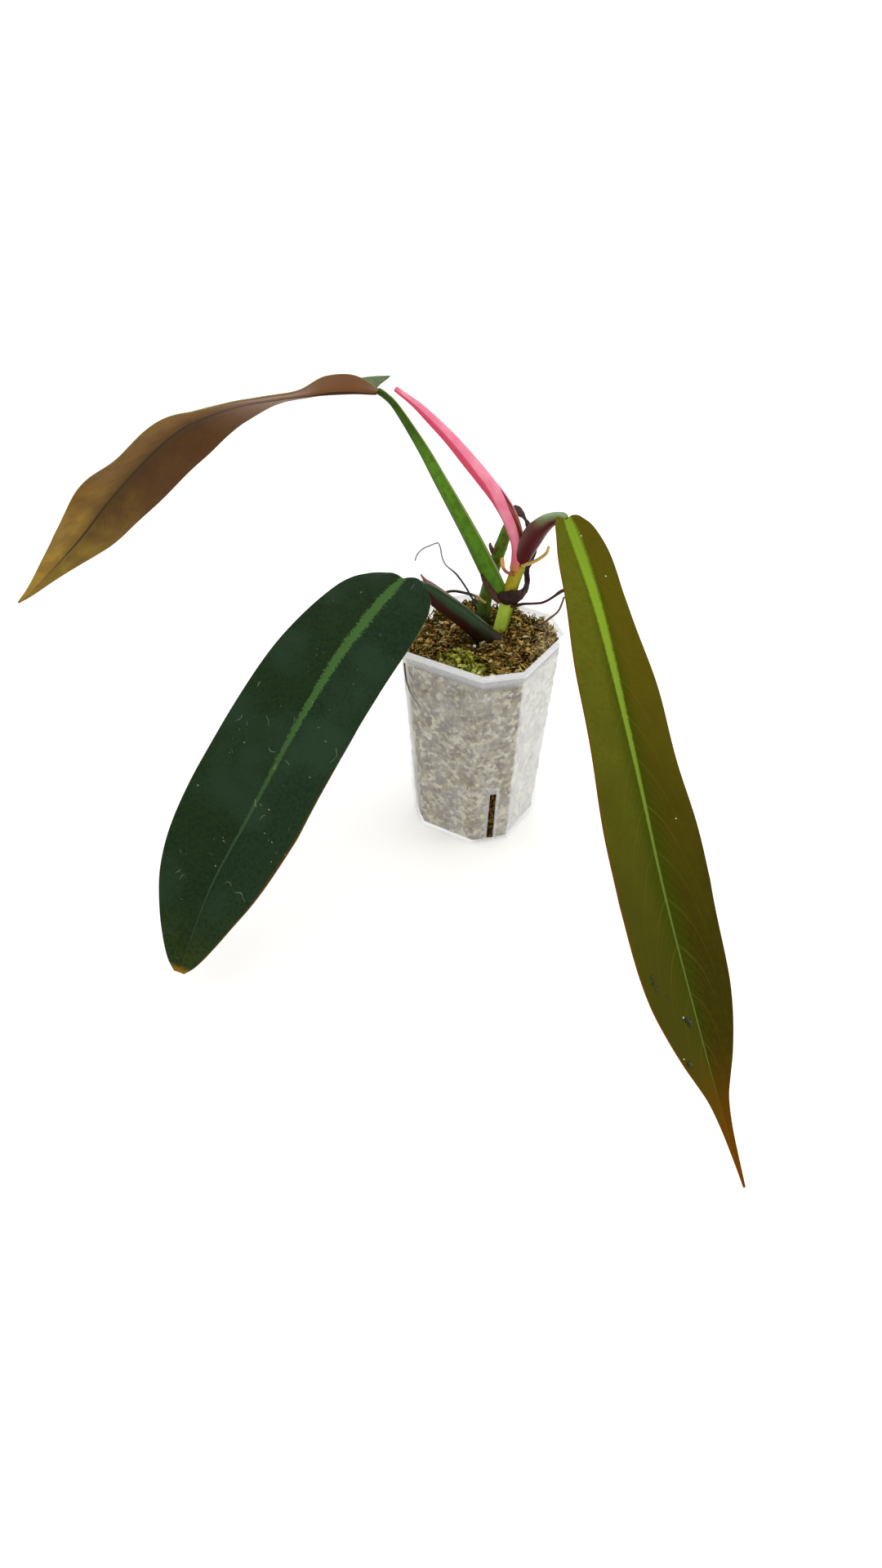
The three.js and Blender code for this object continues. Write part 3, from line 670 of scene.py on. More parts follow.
@dataclass(frozen=True)
class SheathSkin:
    """The new leaf's sheath: pale, finely veined, with a crimson keel."""

    name: str = "sheath_pink"
    pale: Colour = paint(226, 118, 146)
    deep: Colour = paint(198, 66, 92)
    light: Colour = paint(232, 148, 162)
    foot: Colour = paint(196, 122, 84)
    keel_turn: float = 0.6

    def build(self) -> bpy.types.Material:
        """Builds the sheath's material from its UV and place."""
        shade = Shade(self.name)
        s, v = shade.skin()
        fine = shade.grain(0.8, 3)
        patch = shade.grain(6, 3)
        veins = ((v + (patch - 0.5) * 0.02) * (34 * math.pi)).sine()
        keel = abs(v - self.keel_turn + (patch - 0.5) * 0.03).rise(0.15, 0.09)
        ends = s.rise(0.14, 0.02).larger(s.rise(0.96, 1.0))
        colour = shade.blend(patch.rise(0.3, 0.8), self.pale, self.light)
        colour = shade.blend(keel.larger(ends * 0.6), colour, self.deep)
        colour = shade.blend(veins.rise(0.5, 1.0) * 0.14, colour, self.deep)
        colour = shade.blend((s + (patch - 0.5) * 0.02).rise(0.06, 0.01), colour, self.foot)
        return shade.finish(
            Base_Color=colour,
            Roughness=(fine - 0.5) * 0.2 + 0.36,
            Normal=shade.relief(veins * 0.3 + fine * 0.3, 0.08),
            Specular_IOR_Level=0.15,
        )


@dataclass(frozen=True)
class DryTissue:
    """Dead sheath or root skin: matt, wrinkled lengthwise, with a painted highlight on its raised parts."""

    name: str
    dark: Colour
    # light: the colour of the painted highlight on the raised parts
    light: Colour
    tip: Colour
    tip_from: float = 2.0
    highlight_share: float = 0.5
    wrinkle: float = 0.25
    roughness: float = 0.75

    def build(self) -> bpy.types.Material:
        """Builds the material from its UV and place."""
        shade = Shade(self.name)
        s, v = shade.skin()
        patch = shade.grain(3.2, 4)
        fine = shade.grain(0.6, 4)
        ridge = shade.grain(1.0, 3, shade.stretched(s * 0.02, v * 0.012))
        # painted highlight on the raised ridges
        raised = (patch * 0.5 + ridge * 0.5).rise(0.42, 0.7)
        colour = shade.blend(raised * self.highlight_share, self.dark, self.light)
        tip = (s + (patch - 0.5) * 0.1).rise(self.tip_from, self.tip_from + 0.12)
        colour = shade.blend(tip, colour, self.tip)
        return shade.finish(
            Base_Color=colour,
            Roughness=(fine - 0.5) * 0.3 + self.roughness,
            Normal=shade.relief(ridge * 0.7 + fine * 0.5, self.wrinkle),
            Specular_IOR_Level=0.3,
        )


@dataclass(frozen=True)
class MossBody:
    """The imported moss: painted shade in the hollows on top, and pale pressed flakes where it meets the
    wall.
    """

    name: str = "moss_packed"
    # hollow: painted shade, the dark between the fibres on top
    hollow: Colour = paint(30, 21, 6)
    brown: Colour = paint(104, 82, 30)
    pressed: Colour = paint(156, 149, 122)
    shadow: Colour = paint(112, 102, 94)
    dark: Colour = paint(92, 80, 64)
    flake: Colour = paint(214, 209, 180)

    def build(self) -> bpy.types.Material:
        """Builds the material from the point's place."""
        shade = Shade(self.name)
        x, y, z = shade.axes(shade.place())
        behind_slot = abs(abs(x) - abs(y)).rise(0.0036, 0.003) * z.rise(0.0325, 0.0315)
        fine = shade.grain(1.6, 5)
        flakes = shade.grain(4.6, 2)
        clumps = shade.grain(8, 3)
        # the top: painted shade of the hollows, broken by brown
        crown = shade.blend(fine.rise(0.4, 0.7), self.hollow, self.brown)
        small, large = shade.cells(2.0, 2.0), shade.cells(3.8, 4.0)
        shaded = (clumps * 0.6 + large * 0.4).rise(0.3, 0.68)
        side = shade.blend(shaded, self.pressed, self.shadow)
        side = shade.blend((small * 0.55 + large * 0.45).rise(0.42, 0.15) * 0.65, side, self.dark)
        pale = (large * 0.35 + small * 0.35 + flakes * 0.5).rise(0.55, 0.84)
        side = shade.blend(pale * 0.7, side, self.flake)
        side = shade.blend(fine.rise(0.45, 0.75) * 0.4, side, self.dark)
        side = shade.blend(behind_slot, side, crown)
        colour = shade.blend(z.rise(0.0925, 0.0915), crown, side)
        return shade.finish(
            Base_Color=colour, Roughness=0.95, Normal=shade.relief(fine, 1.0), Specular_IOR_Level=0.05,
        )


@dataclass(frozen=True)
class FibreTint:
    """Moss fibres, each in the colour it was laid with, painted shade and light included."""

    name: str
    darker: Colour = paint(150, 140, 120)

    def build(self) -> bpy.types.Material:
        """Builds the material from the fibres' own tint."""
        shade = Shade(self.name)
        tint = shade.node("ShaderNodeAttribute", {"attribute_name": "tint"}, {}).outputs["Color"]
        fine = shade.grain(0.5, 2)
        dark = shade.node("ShaderNodeMix", {"data_type": "RGBA", "blend_type": "MULTIPLY"},
                          {0: 1.0, 6: tint, 7: self.darker}).outputs[2]
        colour = shade.blend(fine.rise(0.3, 0.7), dark, tint)
        return shade.finish(
            Base_Color=colour, Roughness=0.8, Normal=shade.relief(fine, 0.2), Specular_IOR_Level=0.1,
        )


@dataclass(frozen=True)
class PotPlastic:
    """Thin milky plastic with a faint painted glow: the moss shows through the walls, and less so at rim,
    corners and foot.
    """

    name: str = "pot_milky"
    milk: Colour = paint(246, 248, 251)
    wall: float = 0.08                # opacity of each face of a wall
    slant: float = 0.2                # what a slanting view adds to it
    rim: float = 0.45
    head: float = 0.26                # just under the rim
    frame: float = 0.2
    foot: float = 0.14

    def build(self) -> bpy.types.Material:
        """Builds the plastic from the point's place and its grazing angle."""
        shade = Shade(self.name)
        x, y, z = shade.axes(shade.place())
        across, beside = abs(x).larger(abs(y)), abs(x).smaller(abs(y))
        rim = z.rise(0.0968, 0.0974)
        head = z.rise(0.0905, 0.0955)
        foot = z.rise(0.0032, 0.001)
        slot_side = abs(across - beside).rise(0.0043, 0.0039) * z.rise(0.0347, 0.0343)
        graze = Value(shade, shade.node("ShaderNodeLayerWeight", {}, {"Blend": 0.5}).outputs["Facing"])
        cloud = (shade.grain(9, 3) - 0.5) * 0.2
        opacity = cloud + self.wall + graze.rise(0.42, 0.76) * self.slant
        opacity = opacity.larger(rim * self.rim).larger(foot * self.foot).larger(slot_side * self.frame)
        opacity = opacity.larger(head * self.head)
        return shade.finish(
            Base_Color=self.milk,
            Roughness=0.34,
            Alpha=opacity.smaller(1.0),
            Normal=shade.relief(shade.grain(2.5, 2), 0.05),
            IOR=1.46,
            # a faint glow of the milk: painted light for the light that shines through the plastic
            Emission_Color=self.milk,
            Emission_Strength=0.08,
        )


@dataclass(frozen=True)
class PlainFinish:
    """A small plain surface with a fine grain."""

    name: str
    colour: Colour
    shade_colour: Colour
    size: float = 0.4
    roughness: float = 0.8
    depth: float = 0.1
    gloss: float = 0.5

    def build(self) -> bpy.types.Material:
        """Builds the material from the point's place."""
        shade = Shade(self.name)
        fine = shade.grain(self.size, 3)
        colour = shade.blend(fine.rise(0.35, 0.65), self.colour, self.shade_colour)
        return shade.finish(
            Base_Color=colour, Roughness=self.roughness, Normal=shade.relief(fine, self.depth),
            Specular_IOR_Level=self.gloss,
        )


# Plant


def crowded(low: float, high: float, steps: int, crowding: float) -> np.ndarray:
    """Places from low to high in so many steps, drawn together wherever they pass a whole number."""
    even = np.linspace(low, high, steps + 1)
    return even - crowding * np.sin(2 * math.pi * even)


def thinned(from_edge: np.ndarray, reach: float) -> np.ndarray:
    """The share of its thickness that a sheet keeps near its edge, down a quarter of a circle.

    Args:
        from_edge: distances from the edge.
        reach: how far in the sheet gets its full thickness.

    Returns:
        The share at each distance, from 0 to 1.
    """
    return np.sqrt(np.clip(1 - (1 - np.clip(from_edge / reach, 0, 1)) ** 2, 0, 1))


@dataclass(frozen=True)
class Leaf:
    """A strap leaf: a blade bent along its midrib, with the same form as the CAD blade."""

    name: str
    node: str
    slot: str
    route: Route
    half_width: Stops
    roll: Stops
    fold: Stops
    skew: Stops
    upper: LeafFace
    lower: LeafFace
    bow: float
    rib: float
    lobes: Point                                  # right, left, turn
    waves: tuple[float, float, float, float]      # right, left, count, shift
    lobe_sharp: float = 1.0
    thickness: float = 0.8
    lobe_length: float = 0.1
    rib_reach: float = 0.12
    wave_lag: float = 0.37
    groove: float = 0.35
    groove_width: float = 1.1
    edge_round: float = 0.5                       # over how many millimetres the edges thin out
    rows: int = 190
    columns: int = 52

    def stations(self) -> np.ndarray:
        """Places across the blade from -1 to 1, closer together at the midrib and the margins."""
        return crowded(-1, 1, self.columns, 0.13)

    def places(self) -> np.ndarray:
        """Places along the blade from 0 to 1, closer together at both ends."""
        return crowded(0, 1, self.rows, 0.14)

    def section(self, curve: Curve, s: float) -> tuple[np.ndarray, np.ndarray]:
        """The upper and under side of the blade at one place along it.

        Args:
            curve: the midrib.
            s: the share of its length.

        Returns:
            Two rows of points, both from the left margin to the right one.
        """
        v = self.stations()
        out, sign = np.abs(v), np.sign(v)
        along, centre = curve.along(s), curve.point(s)
        level = unit(np.cross(along, (0, 0, 1)))
        turn = Matrix.Rotation(math.radians(-value_at(self.roll, s)), 3, Vector(along))
        side = np.array(turn @ Vector(level))
        normal = np.cross(side, along)
        half = value_at(self.half_width, s)
        fold, bow = math.radians(value_at(self.fold, s)), math.radians(self.bow)
        lean, chord = fold + bow * out, fold + bow * out / 2
        right, left, lobe_turn = self.lobes
        sweep = np.where(v < 0, left, right) * max(0.0, 1 - s / self.lobe_length) ** 2
        sweep = sweep * np.sin(math.pi * lobe_turn * out) ** self.lobe_sharp
        wave_right, wave_left, count, shift = self.waves
        phase = 2 * math.pi * (count * s + shift + np.where(v < 0, self.wave_lag, 0))
        wave = np.where(v < 0, wave_left, wave_right) * out**3 * np.sin(phase) * math.sin(math.pi * s)
        width = half * out * (1 + sign * value_at(self.skew, s))
        face = np.outer(np.cos(lean), normal) - np.outer(sign * np.sin(lean), side)
        top = centre + np.outer(sign * width * np.cos(chord), side)
        top = top + np.outer(width * np.sin(chord), normal) - np.outer(sweep, along) + face * wave[:, None]
        from_edge = np.minimum(half * (1 - out), min(s, 1 - s) * curve.length)
        body = thinned(from_edge, self.edge_round)
        middle = top - face * self.thickness / 2
        channel = self.groove * np.exp(-((out * half / self.groove_width) ** 2)) * (1 - s) * body
        near_rib = 0.5 + 0.5 * np.cos(math.pi * np.clip(out / (1.6 * self.rib_reach), 0, 1))
        keel = self.rib * (1 - s) * near_rib * body
        upper = middle + face * (self.thickness / 2 * body - channel)[:, None]
        lower = middle - face * (self.thickness / 2 * body + keel)[:, None]
        return upper, lower

    def build(self) -> bpy.types.Object:
        """Models the blade and dresses both faces."""
        curve = Curve(self.route)
        rings = []
        for s in self.places():
            upper, lower = self.section(curve, float(s))
            rings.append(np.vstack([upper, lower[::-1][1:]]))
        piece = bent_grid(self.name, np.array(rings))
        halve_slots(piece)
        v = self.stations()
        across = np.concatenate([v, v[::-1][1:]])
        map_grid(piece, self.places(), (across + 1) / 2)
        sew(piece)
        dress(piece, self.node, self.slot, self.upper.build(), self.lower.build())
        return piece


@dataclass(frozen=True)
class Limb:
    """A stem, petiole, root or dried strap: a tapered tube along a route."""

    route: Route
    radii: Stops
    flat: float = 1.0
    twist: float = 0.0
    facing: Point | None = None        # what the skin's zero turn faces
    rings: Sequence[Point] = ()        # place, height and length of each swollen ring
    channel: float = 0.0               # depth of a groove on the facing side
    channel_width: float = 0.45        # and its width, in radians
    ragged: float = 0.0
    rows: int = 60
    columns: int = 28
    cap_rows: int = 5

    def cap(self, end: int) -> float:
        """How long the rounded cap is at the limb's start, 0, or its end, 1."""
        return value_at(self.radii, end) * min(self.flat, 1)

    def places(self, length: float) -> np.ndarray:
        """Places along the limb, with rounded caps at both ends."""
        first, last = self.cap(0) / length, self.cap(1) / length
        arc = 1 - np.cos(np.linspace(0, math.pi / 2, self.cap_rows + 1))[:-1]
        body = np.linspace(first, 1 - last, self.rows)
        return np.concatenate([arc * first, body, 1 - (arc * last)[::-1]])

    def ring(self, s: float, curve: Curve, frame: tuple[np.ndarray, ...]) -> np.ndarray:
        """One ring of the limb.

        Args:
            s: the share of the curve's length.
            curve: the limb's centre line.
            frame: the directions along and across it.

        Returns:
            The ring's points, the last one on the first.
        """
        along, normal, binormal = frame
        if self.facing:
            towards = turned([self.facing])[0]
            normal = unit(towards - along * (towards @ along))
            binormal = np.cross(along, normal)
        angle = np.linspace(0, 2 * math.pi, self.columns + 1)
        share = min(1.0, min(s, 1 - s) * curve.length / self.cap(0 if s < 0.5 else 1))
        radius = value_at(self.radii, s) * math.sqrt(max(0.0, 1 - (1 - share) ** 2))
        for place, height, length in self.rings:
            radius += height * math.exp(-(((s - place) * curve.length / length) ** 2))
        wide, thin = np.cos(angle) * radius, np.sin(angle) * radius * self.flat
        if self.channel:
            from_facing = np.minimum(angle, 2 * math.pi - angle)
            groove = self.channel * np.exp(-((from_facing / self.channel_width) ** 2))
            wide, thin = wide - groove * np.cos(angle), thin - groove * np.sin(angle)
        cosine, sine = math.cos(self.twist * s), math.sin(self.twist * s)
        points = curve.point(s) + np.outer(wide * cosine - thin * sine, normal)
        points = points + np.outer(wide * sine + thin * cosine, binormal)
        if self.ragged:
            for point in points[:-1]:
                shift = noise.noise(Vector(point) * 0.55) + 0.5 * noise.noise(Vector(point) * 1.7)
                point += (point - curve.point(s)) * shift * self.ragged
            points[-1] = points[0]
        return points

    def build(self, name: str) -> bpy.types.Object:
        """Models the limb under a name."""
        curve = Curve(self.route)
        places = self.places(curve.length)
        frames = curve.frames(list(places))
        rings = np.array([self.ring(float(s), curve, frame) for s, frame in zip(places, frames)])
        piece = bent_grid(name, rings)
        map_grid(piece, places, np.linspace(0, 1, self.columns + 1))
        sew(piece)
        return piece


@dataclass(frozen=True)
class Stalk:
    """One or more limbs that make one node, each with a skin of its own or the last one's."""

    name: str
    node: str
    slot: str
    limbs: Sequence[Limb]
    skins: Sequence[StalkSkin | DryTissue]

    def build(self) -> bpy.types.Object:
        """Models the limbs, joins them and dresses each in its skin."""
        finishes = [skin.build() for skin in self.skins]
        pieces = []
        for index, limb in enumerate(self.limbs):
            piece = limb.build(self.name)
            piece.data.materials.append(finishes[min(index, len(finishes) - 1)])
            pieces.append(piece)
        joined = join(pieces, self.name)
        hang(joined, self.node)
        return joined


@dataclass(frozen=True)
class Cataphyll:
    """The pink sheath round the new leaf, open along one side."""

    name: str = "new_leaf_sheath"
    route: Route = (
        (15.3, 7.2, 128.6), (15.4, 8, 134), (14.4, 8, 141.4), (11.2, 7.4, 151.4), (5.6, 7.2, 161.1),
        (-1.5, 8, 169.7), (-8.9, 9.4, 177.7), (-16.5, 11, 185.7), (-24.7, 13, 193), (-31.3, 14.6, 198.4),
        (-39.6, 16.4, 203.8),
    )
    radii: Stops = (
        (0, 3.9), (0.05, 3.5), (0.12, 3.1), (0.23, 3.6), (0.42, 3.5), (0.56, 3.2), (0.7, 2.7), (0.82, 2.2),
        (0.93, 1.5), (1, 1.2),
    )
    opening: Stops = ((0, 130), (0.12, 90), (0.3, 80), (0.42, 44), (0.5, 22), (0.8, 16), (1, 40))
    open_turn: Stops = ((0, 0), (0.3, 0), (0.45, 32), (1, 36))
    open_towards: Point = (0.8, -0.3, 0.5)
    thickness: float = 0.7
    edge_round: float = 0.4
    rows: int = 110
    columns: int = 40

    def build(self) -> bpy.types.Object:
        """Models the open sheath and dresses it."""
        curve = Curve(self.route)
        facing = turned([self.open_towards])[0]
        share = crowded(0, 1, self.columns, 0.1)
        places = crowded(0, 1, self.rows, 0.1)
        rings = []
        for s in places:
            along, centre = curve.along(s), curve.point(s)
            side = unit(np.cross(along, facing))
            back = np.cross(side, along)
            radius = value_at(self.radii, s)
            gape = math.radians(value_at(self.opening, s) / 2)
            angle = math.radians(value_at(self.open_turn, s)) + gape + (2 * math.pi - 2 * gape) * share
            spoke = np.outer(np.cos(angle), back) + np.outer(np.sin(angle), side)
            from_side = np.minimum(share, 1 - share) * 2 * math.pi * radius
            body = thinned(np.minimum(from_side, min(s, 1 - s) * curve.length), self.edge_round)
            middle = radius - self.thickness / 2
            outer = centre + spoke * (middle + self.thickness / 2 * body)[:, None]
            inner = centre + spoke * (middle - self.thickness / 2 * body)[:, None]
            rings.append(np.vstack([outer, inner[::-1][1:]]))
        piece = bent_grid(self.name, np.array(rings))
        map_grid(piece, places, np.concatenate([share, share[::-1][1:]]))
        sew(piece)
        dress(piece, "cataphyll_pink", "cataphyll", SheathSkin().build())
        return piece


# Pot and moss


@dataclass(frozen=True)
class Pot:
    """The eight-sided nursery pot, its sharp CAD edges softened."""

    name: str = "nursery_pot"
    soften: float = 0.22
    wall: float = 0.9
    height: float = 100.0
    base_half: float = 26.8
    rim_half: float = 33.3
    base_corner: float = 12.1
    rim_corner: float = 13.5

    def inside(self, x: float, y: float, z: float, inset: float) -> float:
        """How far a point lies inside the wall, less an inset, in millimetres."""
        half = self.base_half + (self.rim_half - self.base_half) * z / self.height
        corner = self.base_corner + (self.rim_corner - self.base_corner) * z / self.height
        wide, slant = max(abs(x), abs(y)), (abs(x) + abs(y)) / math.sqrt(2)
        return min(half - wide, (2 * half - corner) / math.sqrt(2) - slant) - self.wall - inset

    def build(self, solid: bpy.types.Object) -> bpy.types.Object:
        """Copies the CAD shell, merges and softens it, and dresses it."""
        piece = copied(solid, self.name)
        with editing(piece):
            bpy.ops.mesh.dissolve_limited(angle_limit=math.radians(1))
        modify(piece, "BEVEL", width=self.soften * MM, segments=3, limit_method="ANGLE",
               angle_limit=math.radians(25))
        bpy.ops.object.shade_smooth_by_angle(angle=math.radians(35))
        modify(piece, "WEIGHTED_NORMAL", keep_sharp=True)
        dress(piece, "pot_shell", "pot_plastic", PotPlastic().build())
        return piece


class Heap(Enum):
    """Where on the moss a kind of fibre lies."""

    ALL_OVER = "all over"
    GREEN_CLUMP = "the living clump at the front left"
    PALE_FRINGE = "the dry fringe at the right corner"
    BACK_TUFTS = "the tufts along the back"


@dataclass(frozen=True)
class FibreKind:
    """One kind of moss fibre: how many, how large, where, and in which colours."""

    name: str
    heap: Heap
    count: int
    length: tuple[float, float]
    thickness: tuple[float, float]
    flat: float
    lift: tuple[float, float]
    rise: tuple[float, float]         # degrees above the level
    curl: float
    colours: Sequence[tuple[float, Colour]]           # each with its weight
    cap: float = 101.0                # the height that none of it passes
    relief_shading: float = 1.1          # how much painted shade it takes in the hollows, and painted light on the lumps


MOSS_KINDS: Sequence[FibreKind] = (
    FibreKind(
        "moss_fibres", Heap.ALL_OVER, 3800, (2.5, 6.5), (0.22, 0.55), 1.0, (-0.8, 1.2), (-20, 30), 2.4,
        ((26, paint(118, 84, 34)), (26, paint(172, 134, 62)), (22, paint(226, 190, 112)),
         (14, paint(114, 108, 32)), (12, paint(50, 34, 12))),
    ),
    FibreKind(
        "moss_flakes", Heap.ALL_OVER, 760, (2.0, 4.4), (0.6, 1.3), 0.4, (0.2, 1.8), (-25, 35), 0.9,
        ((35, paint(222, 190, 116)), (40, paint(168, 134, 60)), (25, paint(246, 228, 172))),
    ),
    FibreKind(
        "moss_green", Heap.GREEN_CLUMP, 1100, (1.6, 3.6), (0.4, 0.9), 0.7, (0.2, 2.0), (-10, 60), 0.9,
        ((40, paint(104, 110, 12)), (28, paint(140, 146, 26)), (18, paint(188, 192, 84)),
         (14, paint(54, 52, 8))),
    ),
    FibreKind(
        "moss_buds", Heap.GREEN_CLUMP, 70, (2.2, 3.4), (0.9, 1.4), 0.8, (1.4, 2.6), (-10, 30), 0.6,
        ((60, paint(206, 212, 108)), (40, paint(180, 190, 70))), relief_shading=0.4,
    ),
    FibreKind(
        "moss_fringe", Heap.PALE_FRINGE, 520, (2.5, 5.0), (0.2, 0.45), 0.8, (0.4, 3.4), (-10, 40), 2.0,
        ((34, paint(232, 204, 136)), (38, paint(184, 150, 80)), (28, paint(250, 238, 196))), relief_shading=0.6,
    ),
    FibreKind(
        "moss_tufts", Heap.BACK_TUFTS, 1100, (1.8, 4.2), (0.3, 0.65), 0.8, (0.2, 3.4), (10, 75), 1.4,
        ((38, paint(112, 98, 24)), (34, paint(158, 134, 50)), (14, paint(84, 60, 20)),
         (14, paint(206, 180, 98))), cap=101.5, relief_shading=1.0,
    ),
)


@dataclass(frozen=True)
class Moss:
    """The moss bed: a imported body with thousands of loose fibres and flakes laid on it."""

    pot: Pot
    edge_level: float = 94.5
    crown: float = 2.2
    hump: float = 1.1
    rim_half: float = 34.0
    voxel: float = 0.85
    rough: float = 2.2
    lump_size: float = 3.8            # millimetres from lump to hollow
    seed: int = 11
    clearances: Sequence[Point] = (   # x and y of a stem's foot or the grain, and the room it needs
        (8.2, 7.9, 3.4), (0.9, 14.5, 3.4), (3.2, -0.6, 3.3), (-1.4, -1.8, 3.7), (-5.0, -3.4, 3.2),
        (-2.6, -7.0, 3.0),
    )
    level_spot: Point = (-2.6, -7.0, 0.0)             # under the perlite grain
    green_spot: tuple[float, float] = (-7.0, -23.0)   # the middle of the living clump
    spindle: tuple[float, ...] = (0.0, 0.22, 0.55, 0.85, 1.0)     # places along a fibre
    girth: tuple[float, ...] = (0.9, 1.0, 0.7)        # its thickness at the middle three
    spread: float = 32.0              # half of the square that places are drawn from
    from_wall: float = 0.9            # how far a fibre's place keeps from the wall
    tries: int = 60                   # places drawn for each fibre before the kind is given up
    foot_light: float = 0.5           # the share of light at the foot of a stem
    light_gain: float = 0.55          # and what the open moss gets on top of it
    light_reach: float = 6.0          # millimetres from a stem to the open
    top_from: float = 86.0            # the height that the top of the skin lies above
    top_slope: float = 0.4            # how upright a normal is on top
    under_slope: float = -0.5         # and on the underside, which stays as it is
    press: tuple[float, float] = (0.35, 0.5)          # how far the side is pressed in, and its bumps
    even_tint: float = 0.85           # brightness of a fibre on even moss, the middle of its painted light and shade
    tint_range: tuple[float, float] = (0.25, 1.5)     # from painted shade in a hollow to painted light on a lump
    tint_spread: tuple[float, float] = (0.7, 1.3)     # from fibre to fibre

    def level(self, x: float, y: float) -> float:
        """The height of the moss at a point, as in the CAD solid."""
        spread = min(1.0, math.hypot(x, y) / self.rim_half)
        humps = math.sin(x * 0.31 + 0.6) * math.cos(y * 0.27 - 0.4)
        humps += 0.6 * math.sin(x * 0.62 - y * 0.48 + 1.3) + 0.45 * math.cos(x * 0.9 + y * 0.83)
        return self.edge_level + self.crown * (1 - spread * spread) + self.hump * humps

    def lump(self, x: float, y: float) -> float:
        """How far the moss stands over its even level, from about -1 in a hollow to 1 on a lump."""
        spot = turned([self.level_spot])[0]
        share = min(1.0, max(0.0, math.hypot(x - spot[0], y - spot[1]) - 1.5) / 2)
        return share * noise.fractal(Vector((x, y, 0)) / self.lump_size, 1.0, 2.0, 2)

    def in_plant(self, x: float, y: float) -> tuple[float, float]:
        """A point of the pot's axes, in the plant's."""
        cosine, sine = math.cos(PLANT_TURN), math.sin(PLANT_TURN)
        return x * cosine + y * sine, y * cosine - x * sine

    def from_stems(self, x: float, y: float) -> float:
        """How far a point lies outside the room that the nearest stem needs."""
        at_x, at_y = self.in_plant(x, y)
        return min(math.hypot(at_x - foot_x, at_y - foot_y) - room
                   for foot_x, foot_y, room in self.clearances)

    def openness(self, x: float, y: float) -> float:
        """How much light reaches a point of the moss: least at the foot of a stem, all in the open."""
        away = min(1.0, max(0.0, self.from_stems(x, y) / self.light_reach))
        return self.foot_light + self.light_gain * away

    def build(self, solid: bpy.types.Object) -> list[bpy.types.Object]:
        """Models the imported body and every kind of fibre."""
        return [self._body(solid), *[self._fibres(kind, order) for order, kind in enumerate(MOSS_KINDS)]]

    def _body(self, solid: bpy.types.Object) -> bpy.types.Object:
        """A fine skin over the CAD plug, rough on top and pressed flat at the wall."""
        piece = copied(solid, "moss_body")
        modify(piece, "REMESH", mode="VOXEL", voxel_size=self.voxel * MM)
        normals = [vertex.normal.z for vertex in piece.data.vertices]
        for vertex, upright in zip(piece.data.vertices, normals):
            at = vertex.co / MM
            if upright > self.top_slope and at.z > self.top_from:
                vertex.co.z += self.lump(at.x, at.y) * self.rough * MM
            elif upright > self.under_slope:
                inwards = Vector((-at.x, -at.y, 0)).normalized()
                bumps = noise.fractal(at * 0.45, 1.0, 2.0, 3)
                vertex.co += inwards * max(0.0, self.press[0] + self.press[1] * bumps) * MM
        bpy.ops.object.shade_smooth()
        dress(piece, "moss_plug", "moss", MossBody().build())
        return piece

    def _spot(self, draw: np.random.Generator, heap: Heap) -> tuple[float, float] | None:
        """Draws a place on the moss for one fibre of a heap, or None where a stem stands."""
        x, y = draw.uniform(-self.spread, self.spread, 2)
        if self.pot.inside(x, y, self.edge_level, self.from_wall) < 0 or self.from_stems(x, y) < 0:
            return None
        plant_x, plant_y = self.in_plant(x, y)
        green_x, green_y = plant_x - self.green_spot[0], plant_y - self.green_spot[1]
        from_green = math.hypot((green_x - green_y) / 2, green_x + green_y)
        ruffle = 3 * noise.noise(Vector((x, y, 0)) * 0.2)
        wanted = {
            Heap.ALL_OVER: 1.0,
            Heap.GREEN_CLUMP: (11 - from_green + 1.5 * ruffle) / 5,
            Heap.PALE_FRINGE: (plant_x - 24 + ruffle) / 6,
            Heap.BACK_TUFTS: (plant_y - 12 + 2 * ruffle) / 9,
        }[heap]
        return (x, y) if draw.uniform() < wanted else None

    def _strand(self, draw: np.random.Generator, kind: FibreKind, x: float, y: float) -> np.ndarray | None:
        """Draws one fibre, a slim three-sided spindle that is bent and turned at random.

        Args:
            draw: the random numbers.
            kind: the kind of fibre.
            x: its place on the moss.
            y: likewise.

        Returns:
            Its points, end, three rings and end, or None where it would pass through the pot.
        """
        length, thick = draw.uniform(*kind.length), draw.uniform(*kind.thickness)
        heading, climb = draw.uniform(0, 2 * math.pi), math.radians(draw.uniform(*kind.rise))
        bend = draw.uniform(-kind.curl, kind.curl)
        stations = np.array(self.spindle)
        arc = stations * bend
        run = np.where(abs(bend) < 0.05, stations, np.sin(arc) / (bend or 1)) * length
        swing = np.where(abs(bend) < 0.05, 0 * stations, (1 - np.cos(arc)) / (bend or 1)) * length
        flat_out = np.array([math.cos(heading), math.sin(heading), 0.0])
        out = flat_out * math.cos(climb) + np.array([0.0, 0.0, math.sin(climb)])
        tilt = draw.uniform(0, 2 * math.pi)
        level = np.array([-math.sin(heading), math.cos(heading), 0.0])
        raised = np.cross(out, level)
        swing_to = level * math.cos(tilt) + raised * math.sin(tilt) * 0.5
        ground = self.level(x, y) + self.lump(x, y) * self.rough
        start = np.array([x, y, ground + draw.uniform(*kind.lift)])
        centres = start + np.outer(run - length / 2, out) + np.outer(swing, swing_to)
        centres[:, 2] = np.minimum(centres[:, 2], kind.cap)
        if min(self.pot.inside(at[0], at[1], min(at[2], self.pot.height), thick) for at in centres) < 0:
            return None
        angles = np.arange(3) * 2 * math.pi / 3
        across = np.outer(np.cos(angles), level) + np.outer(np.sin(angles), raised) * kind.flat
        rings = [centre + across * thick * share for centre, share in zip(centres[1:-1], self.girth)]
        return np.vstack([centres[0], *rings, centres[-1]])

